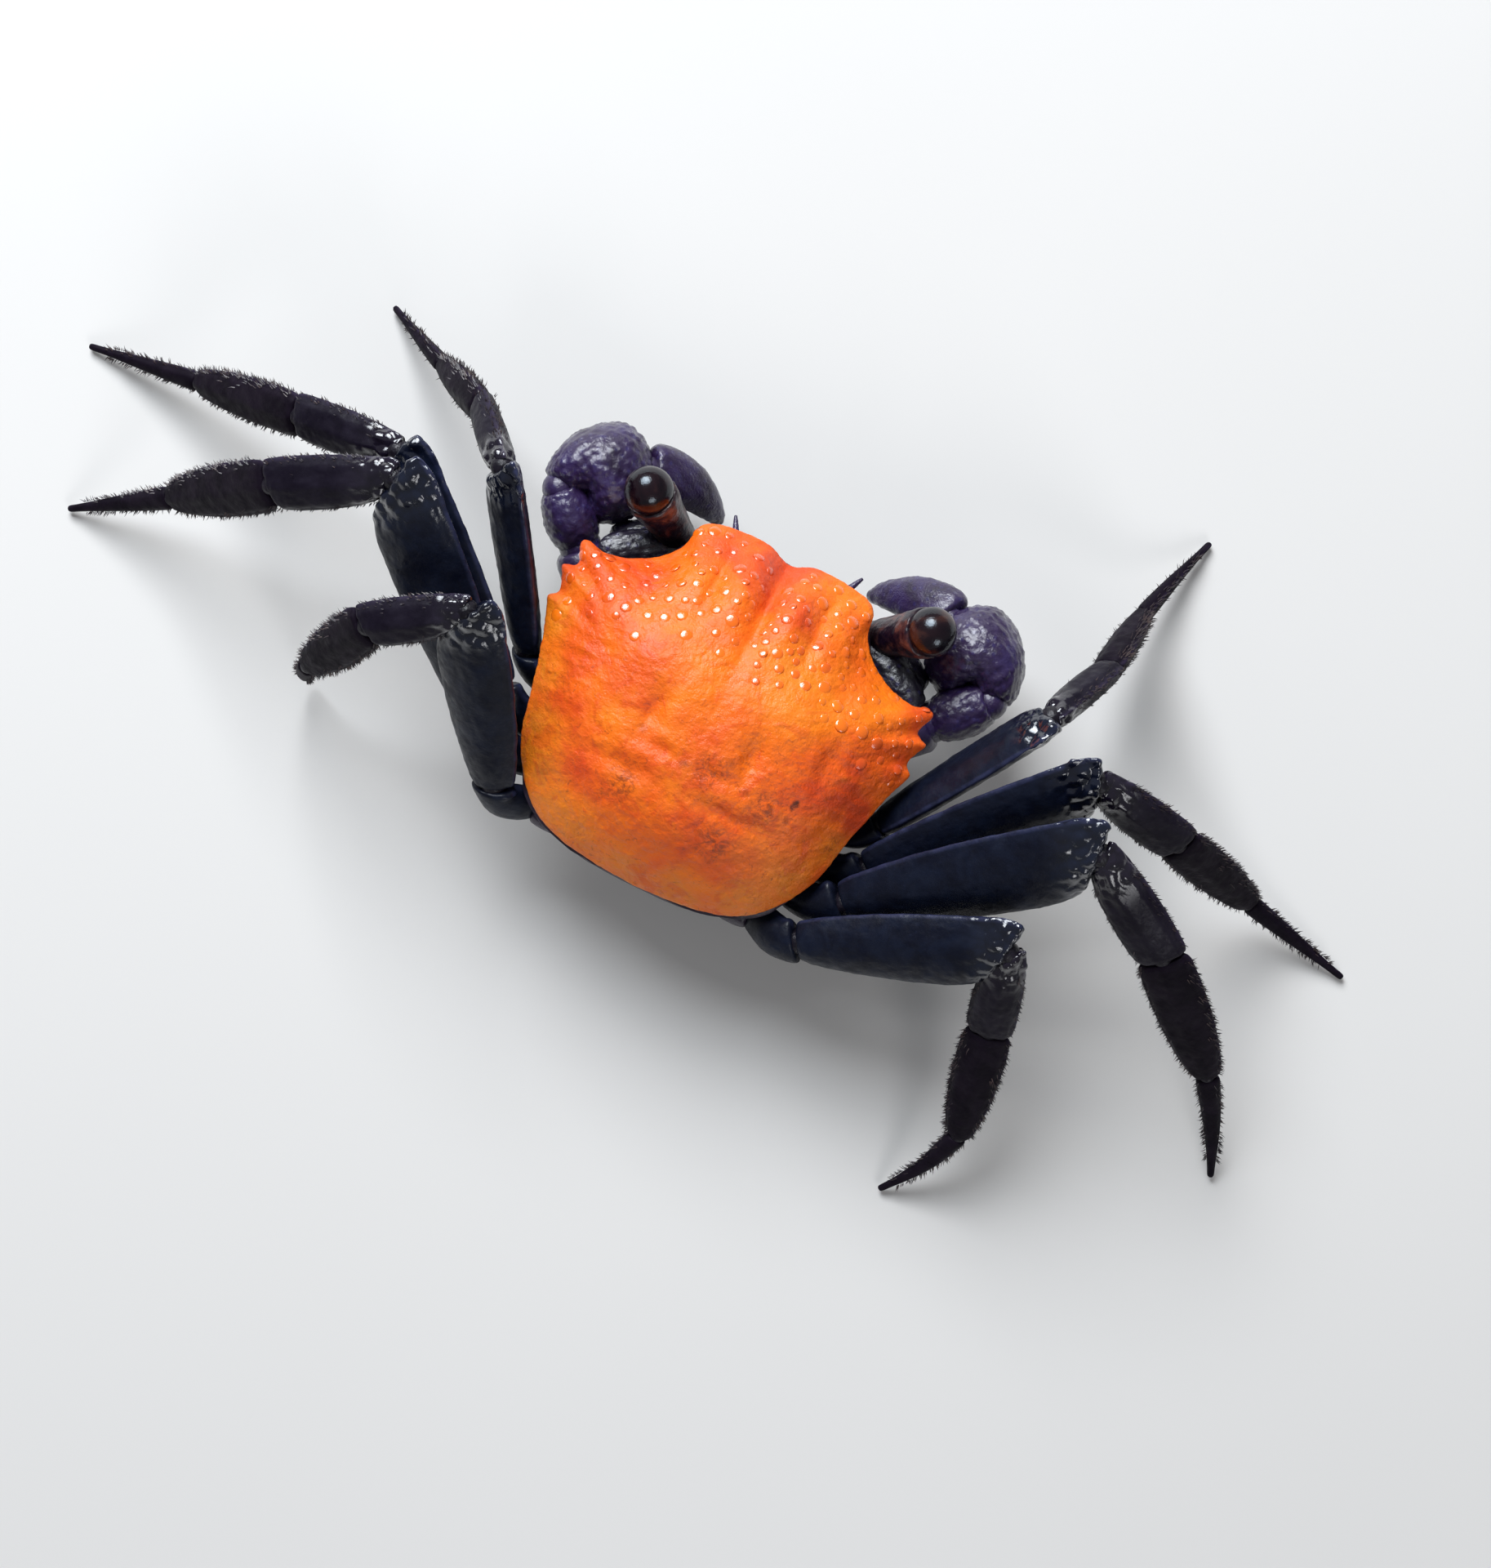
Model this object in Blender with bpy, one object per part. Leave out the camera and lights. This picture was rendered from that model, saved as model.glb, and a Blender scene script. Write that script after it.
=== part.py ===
"""Vampire crab, a life-size still model: shell, underside, eyes, mouthparts, claws and eight legs.

Lengths below are millimetres; build_mesh turns them into metres.
Body places are (outward, forward, up): outward from the midline, forward from the orbit line,
up from the floor.
The crab faces -Y and its left side is +X, so one description serves both sides.
"""
import math

import bmesh
import bpy
from mathutils import Vector

MM = 0.001
GAP = 0.3                    # clearance between touching nodes
SIDES = {"left": 1, "right": -1}
BODY_SHIFT = (-1.15, -3.15)      # moves the model so that its origin is under the middle of its box
UPWARD = Vector((0, 0, 1))

# Shell
SHELL_MIDDLE = -4.6          # forward place of the highest point
SHELL_TOP = 11.6
SHELL_RIM = 8.7              # height of the side margin
SHELL_FRONT_DROP = 0.75      # the front edge bends down this much
SHELL_REAR_DROP = 0.95
SHELL_EDGE = 0.75            # thickness of the margin
SHELL_FLOOR = 7.0            # underside of the shell
SHELL_OUTLINE = [            # half outline (outward, forward), from the middle of the front to the rear
    (0.0, 3.35), (1.1, 3.75), (2.4, 3.75), (3.5, 3.6), (4.15, 3.2), (4.4, 2.1), (5.1, 1.2), (6.2, 0.55),
    (7.3, 0.25), (8.4, 0.35), (8.1, -0.7), (8.75, -0.95), (8.3, -2.0), (8.7, -2.4), (8.35, -3.3),
    (7.95, -4.6), (7.5, -6.4), (7.1, -8.2), (6.3, -9.7), (5.1, -10.95), (3.5, -11.6), (1.7, -11.85),
    (0.0, -11.95)]
SHELL_RINGS = [0.16, 0.34, 0.5, 0.64, 0.76, 0.86, 0.94]      # sizes of the rings that make up the dome
SHELL_DOME_POWER = 2.7       # how flat the middle of the dome is
SHELL_LIP = [(0.985, 0.45), (0.955, 1.0)]    # size and drop of the rings that turn under the margin
SHELL_FLOOR_SIZE = 0.8
# Lobes and furrows of the back: height, place (outward, forward), size (outward, forward)
SHELL_LOBES = [
    (0.42, 1.35, 1.9, 0.95, 1.0), (0.24, 3.4, 1.2, 1.0, 1.1), (-0.5, 0.0, 1.4, 0.5, 2.2),
    (0.22, 3.2, -2.2, 1.6, 1.6), (-0.3, 2.6, -5.2, 0.8, 1.6), (-0.2, 2.4, -7.6, 2.0, 0.5),
    (0.25, 5.2, -5.4, 1.4, 2.4)]

# Underside
CHEST_LEVELS = [             # height, size of the outline at that height
    (3.3, 0.62), (3.55, 0.8), (4.6, 0.97), (5.7, 1.0), (6.7, 0.95)]
CHEST_OUTLINE = [
    (0.0, 2.3), (1.6, 2.3), (3.2, 1.9), (4.2, 0.6), (4.3, -1.2), (4.7, -3.0), (5.5, -4.8), (5.9, -6.6),
    (5.7, -8.4), (4.9, -9.9), (3.2, -10.7), (1.6, -10.9), (0.0, -10.9)]
CHEST_MIDDLE = -4.6
HIP_RADIUS = 0.78            # half thickness of the hip joint of a leg
ARM_HIP_RADIUS = 1.0

# Tail flap: forward place and height of its middle line, half width
FLAP_LINE = [
    (-11.4, 6.45, 2.3), (-11.75, 5.6, 2.9), (-11.6, 4.4, 3.3), (-10.6, 3.2, 3.6), (-9.1, 2.72, 3.9),
    (-7.6, 2.7, 4.0), (-6.1, 2.7, 3.9), (-4.7, 2.7, 3.5), (-3.4, 2.7, 2.6), (-2.4, 2.7, 1.3),
    (-1.8, 2.72, 0.7)]
FLAP_THICK = (0.26, 0.31)    # half thickness between the ridges and at them

# Legs, front to rear: hip end of the coxa, root of the merus, lengths of merus, carpus, propodus and
# dactyl, widths of the first three
LEGS = {
    "first": {"coxa": (6.2, -6.0, 5.5), "root": (8.2, -5.4, 6.3), "lengths": (10.0, 4.6, 6.0, 5.2),
              "widths": (3.0, 2.0, 1.8)},
    "second": {"coxa": (6.5, -7.8, 5.6), "root": (8.3, -7.4, 6.45), "lengths": (12.0, 5.4, 7.4, 6.0),
               "widths": (3.7, 2.3, 2.2)},
    "third": {"coxa": (6.2, -9.3, 5.8), "root": (7.9, -9.15, 6.9), "lengths": (12.9, 6.0, 8.2, 6.2),
              "widths": (4.1, 2.5, 2.5)},
    "fourth": {"coxa": (5.3, -10.8, 5.8), "root": (6.9, -11.25, 6.75), "lengths": (10.3, 4.8, 6.6, 5.2),
               "widths": (3.5, 2.2, 2.2)},
}
# Pose: (heading, pitch) of merus, carpus and propodus, then the heading of the dactyl; a heading of 0
# is forward and 90 outward
POSES = {
    "left": {
        "first": ((32, 36), (48, -48), (68, -58), 66),
        "second": ((49, 16), (95, -26), (95, -42), 97),
        "third": ((46, 25), (117, -24), (117, -50), 119),
        "fourth": ((32, 41), (123, -24), (142, -58), 150)},
    "right": {
        "first": ((31, 25), (25, -42), (12, -56), 18),
        "second": ((43, 22), (98, -34), (99, -50), 101),
        "third": ((52, 25), (120, -28), (128, -42), 146),
        "fourth": ((66, 22), (163, -42), (166, -40), 205)},
}
LEG_THICK = 1.45
HIP_SECTIONS = [(0.62, 0.6), (0.75, 0.62), (0.95, 0.62)]     # half width and half thickness
HIP_SHARES = (0.7, 0.08)     # where the second and third of them lie, along the ischium and the merus
# Sections of a segment: share of its length, share of its half width, share of the half thickness
MERUS_SECTIONS = [
    (0.2, 0.72, 1.0), (0.42, 0.88, 1.0), (0.64, 0.97, 1.0), (0.8, 0.95, 1.0), (1.0, 0.68, 0.9)]
MERUS_CREST = [0.05, 0.1, 0.12, 0.25, 0.0]                   # how far the upper edge stands out of each
CARPUS_ROOT = 0.28           # half width where it meets the merus, as a share of the width of the merus
CARPUS_SECTIONS = [
    (0.0, 0.0, 0.85), (0.3, 1.0, 0.95), (0.6, 1.0, 0.95), (0.82, 0.95, 0.9), (1.0, 0.86, 0.75)]
PROPODUS_SECTIONS = [
    (0.0, 0.82, 0.72), (0.15, 1.0, 0.8), (0.4, 1.0, 0.8), (0.7, 0.82, 0.72), (0.9, 0.6, 0.65),
    (1.0, 0.48, 0.6)]
TOE_SHARES = (0.0, 0.18, 0.4, 0.62, 0.82, 1.0)
TOE_ROOT = (0.46, 0.58)      # its first half width and half thickness, as shares of propodus and leg
TOE_ARCH = 0.1
LEG_LEAN = 0.3               # how far the broad faces turn up from the plane in which the leg bends
TOE_RADIUS = 0.24            # half thickness of the tip where it stands

# Claw limbs
ARM_ROOT = (5.1, -3.1, 4.7)
ARM_END = (8.55, 0.15, 5.7)
WRIST_END = (10.45, 2.0, 6.35)
ARM_SECTIONS = [(0.0, 0.85, 0.85), (0.3, 1.05, 1.1), (0.7, 1.1, 1.15), (1.0, 0.95, 0.95)]
WRIST_SECTIONS = [(0.0, 0.95, 0.95), (0.35, 1.05, 1.15), (0.7, 0.84, 1.0), (1.0, 0.64, 0.8)]
PALM_SPINE = [
    (10.45, 2.0, 6.35), (10.25, 3.15, 6.1), (9.45, 3.7, 5.75), (8.55, 3.85, 5.3), (7.8, 4.25, 4.85)]
PALM_SIZES = [(0.8, 1.0), (1.06, 1.4), (1.9, 2.2), (2.15, 2.15), (1.7, 1.75)]   # half thickness, height
PALM_START = 0.12            # extra clearance at the wrist, where the palm swells at once
FINGER_SPINE = [
    (7.8, 4.25, 4.85), (6.85, 4.5, 4.3), (5.65, 4.5, 3.65), (4.65, 4.3, 3.05), (3.9, 4.0, 2.5)]
FINGER_SIZES = [(1.1, 0.72), (1.05, 0.7), (0.88, 0.6), (0.6, 0.44), (0.22, 0.22)]
FINGER_SPREAD = [1.08, 1.02, 0.9, 0.68, 0.44]   # each finger's middle line from the middle of the claw
FINGER_ROOT = 1.1            # how far the fixed finger reaches back into the palm
TOOTH_SIZES = (0.26, 0.1, 0.11)                 # radius at its root and tip, rise above the finger

# Eyes and feelers
STALK_ROOT = (4.0, 1.9, 4.6)
EYE_CENTRE = (6.75, 3.45, 9.1)
EYE_RADIUS = 1.12
STALK_RADIUS = 0.9
STALK_SECTIONS = [(0.0, 0.8), (0.35, 0.9), (0.75, 1.0), (1.0, 1.15)]   # shares of its length and radius
EYE_SEAT = 0.72              # the flat at the back of the eye, as a share of its radius
EYE_ANGLES = (-25, 0, 25, 48, 68, 84)       # latitudes of its rings, from the seat to the front
FEELER_LINE = [(2.3, 1.5, 6.2), (2.4, 2.6, 6.2), (2.6, 3.3, 6.1), (2.85, 3.9, 6.0), (3.1, 4.4, 5.9)]
FEELER_SIZES = [(0.42, 0.42), (0.45, 0.42), (0.32, 0.32), (0.27, 0.27), (0.2, 0.2)]
SMALL_FEELER_LINE = [(1.1, 1.6, 6.42), (1.15, 2.6, 6.42), (1.25, 3.3, 6.25)]
SMALL_FEELER_SIZES = [(0.5, 0.3), (0.55, 0.32), (0.3, 0.25)]
JAW_LINE = [(1.15, 2.6, 5.75), (1.25, 2.85, 5.4), (1.25, 2.95, 4.9), (1.15, 2.8, 4.2), (1.05, 2.3, 3.6)]
JAW_SIZES = [(0.75, 0.32), (0.92, 0.36), (0.9, 0.38), (0.85, 0.36), (0.6, 0.3)]
CHEEK_LINE = [(3.0, 0.9, 5.6), (4.3, 1.35, 5.9), (5.4, 1.05, 6.25), (6.4, 0.5, 6.55), (7.1, -0.1, 6.75)]
CHEEK_SIZES = [(0.9, 0.7), (0.95, 0.75), (0.9, 0.65), (0.75, 0.5), (0.4, 0.3)]    # half width, thickness

COLOURS = {                  # colour, roughness
    "shell_orange": ((0.86, 0.18, 0.02), 0.4),
    "claw_purple": ((0.05, 0.045, 0.13), 0.4),
    "leg_navy": ((0.012, 0.016, 0.035), 0.45),
    "toe_black": ((0.012, 0.009, 0.012), 0.5),
    "belly_purple": ((0.06, 0.04, 0.07), 0.5),
    "eye_dark": ((0.05, 0.018, 0.014), 0.1),
    "stalk_brown": ((0.2, 0.07, 0.025), 0.35),
}


def clear_scene():
    for item in list(bpy.data.objects):
        bpy.data.objects.remove(item, do_unlink=True)


def material(name):
    colour, roughness = COLOURS[name]
    made = bpy.data.materials.get(name) or bpy.data.materials.new(name)
    made.use_nodes = True
    shader = made.node_tree.nodes["Principled BSDF"]
    shader.inputs["Base Color"].default_value = (*colour, 1.0)
    shader.inputs["Roughness"].default_value = roughness
    shader.inputs["Metallic"].default_value = 0.0
    return made


def place(point, side=1):
    """A body place (outward, forward, up) as a vector in millimetres."""
    return Vector((side * point[0] + BODY_SHIFT[0], -point[1] + BODY_SHIFT[1], point[2]))


def direction(heading, pitch, side):
    level = math.cos(math.radians(pitch))
    return Vector((side * math.sin(math.radians(heading)) * level, -math.cos(math.radians(heading)) * level,
                   math.sin(math.radians(pitch))))


def build_mesh(name, rings, colour):
    """One closed object from rings of equal count, with a fan over each end."""
    mesh = bpy.data.meshes.new(name)
    work = bmesh.new()
    rows = [[work.verts.new(point * MM) for point in ring] for ring in rings]
    count = len(rows[0])
    for near, far in zip(rows, rows[1:]):
        for index in range(count):
            other = (index + 1) % count
            work.faces.new((near[index], near[other], far[other], far[index]))
    work.faces.new(tuple(reversed(rows[0])))
    work.faces.new(tuple(rows[-1]))
    bmesh.ops.triangulate(work, faces=work.faces[:])
    bmesh.ops.recalc_face_normals(work, faces=work.faces[:])
    work.to_mesh(mesh)
    work.free()
    mesh.materials.append(material(colour))
    made = bpy.data.objects.new(name, mesh)
    bpy.context.scene.collection.objects.link(made)
    mesh.shade_smooth()
    mesh.set_sharp_from_angle(angle=math.radians(50))
    return made


def oval(centre, wide, thick, half_wide, half_thick, sides, power=2.0):
    ring = []
    for index in range(sides):
        angle = 2 * math.pi * index / sides
        across = math.copysign(abs(math.cos(angle)) ** (2 / power), math.cos(angle))
        along = math.copysign(abs(math.sin(angle)) ** (2 / power), math.sin(angle))
        ring.append(centre + wide * half_wide * across + thick * half_thick * along)
    return ring


def slide_to_plane(ring, axis, point, normal):
    """Slides each point of a ring along the axis on to a plane, which makes a mitred end."""
    return [corner + axis * ((point - corner).dot(normal) / axis.dot(normal)) for corner in ring]


def sweep(name, line, sizes, thick_hint, colour, sides=10, power=2.2, first_plane=None, last_plane=None,
          grow=0.0, crest=None):
    """A tapering limb along a line: sizes are (half width, half thickness); planes mitre its ends."""
    rings = []
    last = len(line) - 1
    for index, centre in enumerate(line):
        before = line[max(index - 1, 0)]
        after = line[min(index + 1, last)]
        tangent = (after - before).normalized()
        thick = (thick_hint - tangent * thick_hint.dot(tangent)).normalized()
        wide = tangent.cross(thick)
        half_wide, half_thick = sizes[index]
        ring = oval(centre, wide, thick, half_wide + grow, half_thick + grow, sides, power)
        if crest is not None:
            ring[0] += wide * crest[index]
        if index == 0 and first_plane is not None:
            ring = slide_to_plane(ring, tangent, centre + first_plane * (GAP / 2 - grow), first_plane)
        if index == last and last_plane is not None:
            ring = slide_to_plane(ring, tangent, centre - last_plane * (GAP / 2 - grow), last_plane)
        rings.append(ring)
    return build_mesh(name, rings, colour)


def join_pieces(base, pieces, operation="UNION"):
    """Fuses pieces with the base, or cuts them from it, and keeps the largest closed surface."""
    group = bpy.data.collections.new("pieces")
    bpy.context.scene.collection.children.link(group)
    for piece in pieces:
        bpy.context.scene.collection.objects.unlink(piece)
        group.objects.link(piece)
    step = base.modifiers.new("join", "BOOLEAN")
    step.operation = operation
    step.operand_type = "COLLECTION"
    step.collection = group
    step.solver = "EXACT"
    depsgraph = bpy.context.evaluated_depsgraph_get()
    fused = bpy.data.meshes.new_from_object(base.evaluated_get(depsgraph))
    base.modifiers.clear()
    base.data = fused
    for piece in pieces:
        bpy.data.objects.remove(piece, do_unlink=True)
    bpy.data.collections.remove(group)
    keep_largest(base)


def keep_largest(item):
    work = bmesh.new()
    work.from_mesh(item.data)
    bmesh.ops.remove_doubles(work, verts=work.verts[:], dist=0.000004)
    bmesh.ops.dissolve_degenerate(work, edges=work.edges[:], dist=0.000004)
    bmesh.ops.triangulate(work, faces=work.faces[:])
    left = set(work.verts)
    groups = []
    while left:
        stack = [left.pop()]
        group = set(stack)
        while stack:
            for edge in stack.pop().link_edges:
                for corner in edge.verts:
                    if corner in left:
                        left.remove(corner)
                        group.add(corner)
                        stack.append(corner)
        groups.append(group)
    groups.sort(key=len)
    for group in groups[:-1]:
        bmesh.ops.delete(work, geom=list(group), context="VERTS")
    work.to_mesh(item.data)
    work.free()


def shell_relief(out, forward):
    """Lobes and furrows of the back, in millimetres above the smooth dome."""
    height = 0.0
    for rise, place_out, place_forward, size_out, size_forward in SHELL_LOBES:
        away = ((abs(out) - place_out) / size_out) ** 2 + ((forward - place_forward) / size_forward) ** 2
        height += rise * math.exp(-away)
    return height


def shell_rim_height(out, forward):
    front = max(0.0, min(1.0, (forward - 0.5) / 2.8))
    rear = max(0.0, min(1.0, (-3.5 - forward) / 7.5))
    return SHELL_RIM - SHELL_FRONT_DROP * front ** 1.3 - SHELL_REAR_DROP * rear


def whole_outline(half):
    left_half = [(-out, forward) for out, forward in reversed(half[1:-1])]
    return list(half) + left_half


def make_shell():
    outline = whole_outline(SHELL_OUTLINE)
    rings = []
    for scale in SHELL_RINGS + [1.0]:
        ring = []
        for out, forward in outline:
            here_out = out * scale
            here_forward = SHELL_MIDDLE + (forward - SHELL_MIDDLE) * scale
            rim = shell_rim_height(out, forward)
            dome = rim + (SHELL_TOP - rim) * (1 - scale ** SHELL_DOME_POWER)
            fade = 1.0 if scale < 0.95 else 0.3                      # the lobes die out at the margin
            ring.append(place((here_out, here_forward, dome + fade * shell_relief(here_out, here_forward))))
        rings.append(ring)
    for scale, drop in SHELL_LIP:
        rings.append([place((out * scale, SHELL_MIDDLE + (forward - SHELL_MIDDLE) * scale,
                             shell_rim_height(out, forward) - SHELL_EDGE * drop))
                      for out, forward in outline])
    scale = SHELL_FLOOR_SIZE
    rings.append([place((out * scale, SHELL_MIDDLE + (forward - SHELL_MIDDLE) * scale,
                         min(SHELL_FLOOR, shell_rim_height(out, forward) - SHELL_EDGE)))
                  for out, forward in outline])
    return build_mesh("carapace", rings, "shell_orange")


def leg_joints(side_name, leg_name):
    """The points coxa, root, knee, wrist, ankle and toe of one leg, and the way its broad faces look."""
    side = SIDES[side_name]
    leg = LEGS[leg_name]
    merus, carpus, propodus, toe_heading = POSES[side_name][leg_name]
    points = [place(leg["coxa"], side), place(leg["root"], side)]
    for length, angles in zip(leg["lengths"], (merus, carpus, propodus)):
        points.append(points[-1] + direction(*angles, side) * length)
    toe_length = leg["lengths"][3]
    drop = points[-1].z - TOE_RADIUS
    toe_pitch = -math.degrees(math.asin(min(drop / toe_length, 0.99)))
    points.append(points[-1] + direction(toe_heading, toe_pitch, side) * toe_length)
    normal = (points[2] - points[1]).cross(points[4] - points[2]).normalized()
    normal.z += math.copysign(LEG_LEAN, normal.z)
    return points, normal.normalized()


def bisector(first, middle, last):
    return ((middle - first).normalized() + (last - middle).normalized()).normalized()


def along(start, end, sections):
    return [start.lerp(end, section[0]) for section in sections]


def scaled(sections, half_wide, half_thick):
    return [(half_wide * section[1], half_thick * section[2]) for section in sections]


def make_leg(side_name, leg_name):
    points, normal = leg_joints(side_name, leg_name)
    coxa, root, knee, wrist, ankle, toe = points
    merus_half, carpus_half, propodus_half = (width / 2 for width in LEGS[leg_name]["widths"])
    thin = LEG_THICK / 2
    name = f"leg_{side_name}_{leg_name}"
    knee_plane = bisector(root, knee, wrist)
    wrist_plane = bisector(knee, wrist, ankle)
    ankle_plane = bisector(wrist, ankle, toe)
    hip_plane = (root - coxa).normalized()
    line = [coxa, coxa.lerp(root, HIP_SHARES[0]), root.lerp(knee, HIP_SHARES[1])]
    line += along(root, knee, MERUS_SECTIONS)
    sizes = HIP_SECTIONS + scaled(MERUS_SECTIONS, merus_half, thin)
    crest = [0.0] * len(HIP_SECTIONS) + MERUS_CREST
    sweep(f"{name}_merus", line, sizes, normal, "leg_navy", 10, 1.9, hip_plane, knee_plane, 0.0, crest)
    line = along(knee, wrist, CARPUS_SECTIONS)
    sizes = scaled(CARPUS_SECTIONS, carpus_half, thin)
    sizes[0] = (merus_half * 2 * CARPUS_ROOT, sizes[0][1])
    sweep(f"{name}_carpus", line, sizes, normal, "leg_navy", 10, 2.1, knee_plane, wrist_plane)
    line = along(wrist, ankle, PROPODUS_SECTIONS)
    sizes = scaled(PROPODUS_SECTIONS, propodus_half, thin)
    sweep(f"{name}_propodus", line, sizes, normal, "toe_black", 10, 2.1, wrist_plane, ankle_plane)
    toe_size = (propodus_half * TOE_ROOT[0], thin * TOE_ROOT[1])
    make_toe(f"{name}_dactyl", wrist, ankle, toe, toe_size, normal, ankle_plane)


def make_toe(name, wrist, ankle, toe, size, normal, ankle_plane):
    """The last segment, which arches and tapers to a tip with a small flat where it stands."""
    arch = (ankle - wrist).normalized()
    span = (toe - ankle).length
    line = []
    sizes = []
    straight = (toe - ankle).normalized()
    sideways = arch - straight * arch.dot(straight)
    for share in TOE_SHARES:
        rise = TOE_ARCH * span * math.sin(math.pi * share)
        line.append(ankle.lerp(toe, share) + sideways * rise)
        taper = 1 - 0.78 * share ** 1.4
        sizes.append((max(size[0] * taper, TOE_RADIUS), max(size[1] * taper, TOE_RADIUS * 0.9)))
    made = sweep(name, line, sizes, normal, "toe_black", 8, 2.0, ankle_plane, None)
    for corner in made.data.vertices:
        if corner.co.z < 0.00005:
            corner.co.z = 0.0
    return made


def coxa_piece(end, toward, radius):
    """The short hip joint that grows from the chest and ends in a flat facing the limb."""
    inner = Vector((end.x * 0.5, end.y * 0.92 - 0.35, end.z * 0.93))
    normal = (toward - end).normalized()
    line = [inner, inner.lerp(end, 0.55), end]
    sizes = [(radius * 1.1, radius * 1.1), (radius * 1.15, radius * 1.1), (radius * 0.9, radius * 0.9)]
    return sweep("coxa", line, sizes, UPWARD, "belly_purple", 8, 2.0, None, normal)


def make_chest():
    outline = whole_outline(CHEST_OUTLINE)
    rings = []
    for height, scale in CHEST_LEVELS:
        rings.append([place((out * scale, CHEST_MIDDLE + (forward - CHEST_MIDDLE) * scale, height))
                      for out, forward in outline])
    chest = build_mesh("thorax", rings, "belly_purple")
    pieces = []
    for side_name, side in SIDES.items():
        for leg_name in LEGS:
            points, normal = leg_joints(side_name, leg_name)
            pieces.append(coxa_piece(points[0], points[1], HIP_RADIUS))
        pieces.append(coxa_piece(place(ARM_ROOT, side), place(ARM_END, side), ARM_HIP_RADIUS))
        pieces.append(simple_line("cheek", side, CHEEK_LINE, CHEEK_SIZES, UPWARD, "belly_purple", 10))
    join_pieces(chest, pieces)
    cutters = []
    for side in SIDES.values():
        cutters.append(stalk("cutter", side, GAP))
        cutters.append(feeler("cutter", side, GAP))
        cutters.append(small_feeler("cutter", side, GAP))
        cutters.append(jaw("cutter", side, GAP))
    join_pieces(chest, cutters, "DIFFERENCE")
    return chest


def stalk(name, side, grow=0.0):
    root = place(STALK_ROOT, side)
    centre = place(EYE_CENTRE, side)
    axis = (centre - root).normalized()
    line = along(root, centre - axis * (EYE_RADIUS * EYE_SEAT), STALK_SECTIONS)
    if grow:
        line[0] = root - axis * grow
    sizes = [(STALK_RADIUS * share, STALK_RADIUS * share) for place_along, share in STALK_SECTIONS]
    return sweep(name, line, sizes, UPWARD, "stalk_brown", 12, 2.0, None, None if grow else axis, grow)


def eye(name, side):
    root = place(STALK_ROOT, side)
    centre = place(EYE_CENTRE, side)
    axis = (centre - root).normalized()
    thick = (UPWARD - axis * axis.z).normalized()
    wide = axis.cross(thick)
    seat = EYE_RADIUS * EYE_SEAT
    rings = [oval(centre - axis * (seat - GAP / 2), wide, thick, seat, seat, 14)]
    for angle in EYE_ANGLES:
        lift = math.sin(math.radians(angle)) * EYE_RADIUS
        radius = math.cos(math.radians(angle)) * EYE_RADIUS
        rings.append(oval(centre + axis * lift, wide, thick, radius, radius, 14))
    return build_mesh(name, rings, "eye_dark")


def simple_line(name, side, points, sizes, hint, colour, sides, grow=0.0):
    line = [place(point, side) for point in points]
    if grow:
        line[0] = line[0] - (line[1] - line[0]).normalized() * grow
    return sweep(name, line, sizes, hint, colour, sides, 2.0, None, None, grow)


def feeler(name, side, grow=0.0):
    return simple_line(name, side, FEELER_LINE, FEELER_SIZES, UPWARD, "claw_purple", 8, grow)


def small_feeler(name, side, grow=0.0):
    return simple_line(name, side, SMALL_FEELER_LINE, SMALL_FEELER_SIZES, UPWARD, "claw_purple", 8, grow)


def jaw(name, side, grow=0.0):
    return simple_line(name, side, JAW_LINE, JAW_SIZES, Vector((0, -1, 0)), "belly_purple", 10, grow)


def make_flap():
    """The broad tail flap folded under the body, with a ridge at each ring."""
    line = [place((0.0, forward, height)) for forward, height, half_width in FLAP_LINE]
    last = len(line) - 1
    across = Vector((1, 0, 0))
    rings = []
    for index, centre in enumerate(line):
        tangent = (line[min(index + 1, last)] - line[max(index - 1, 0)]).normalized()
        thick = across.cross(tangent).normalized()
        rings.append(oval(centre, across, thick, FLAP_LINE[index][2], FLAP_THICK[index % 2], 14, 3.0))
    return build_mesh("abdomen", rings, "belly_purple")


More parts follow.
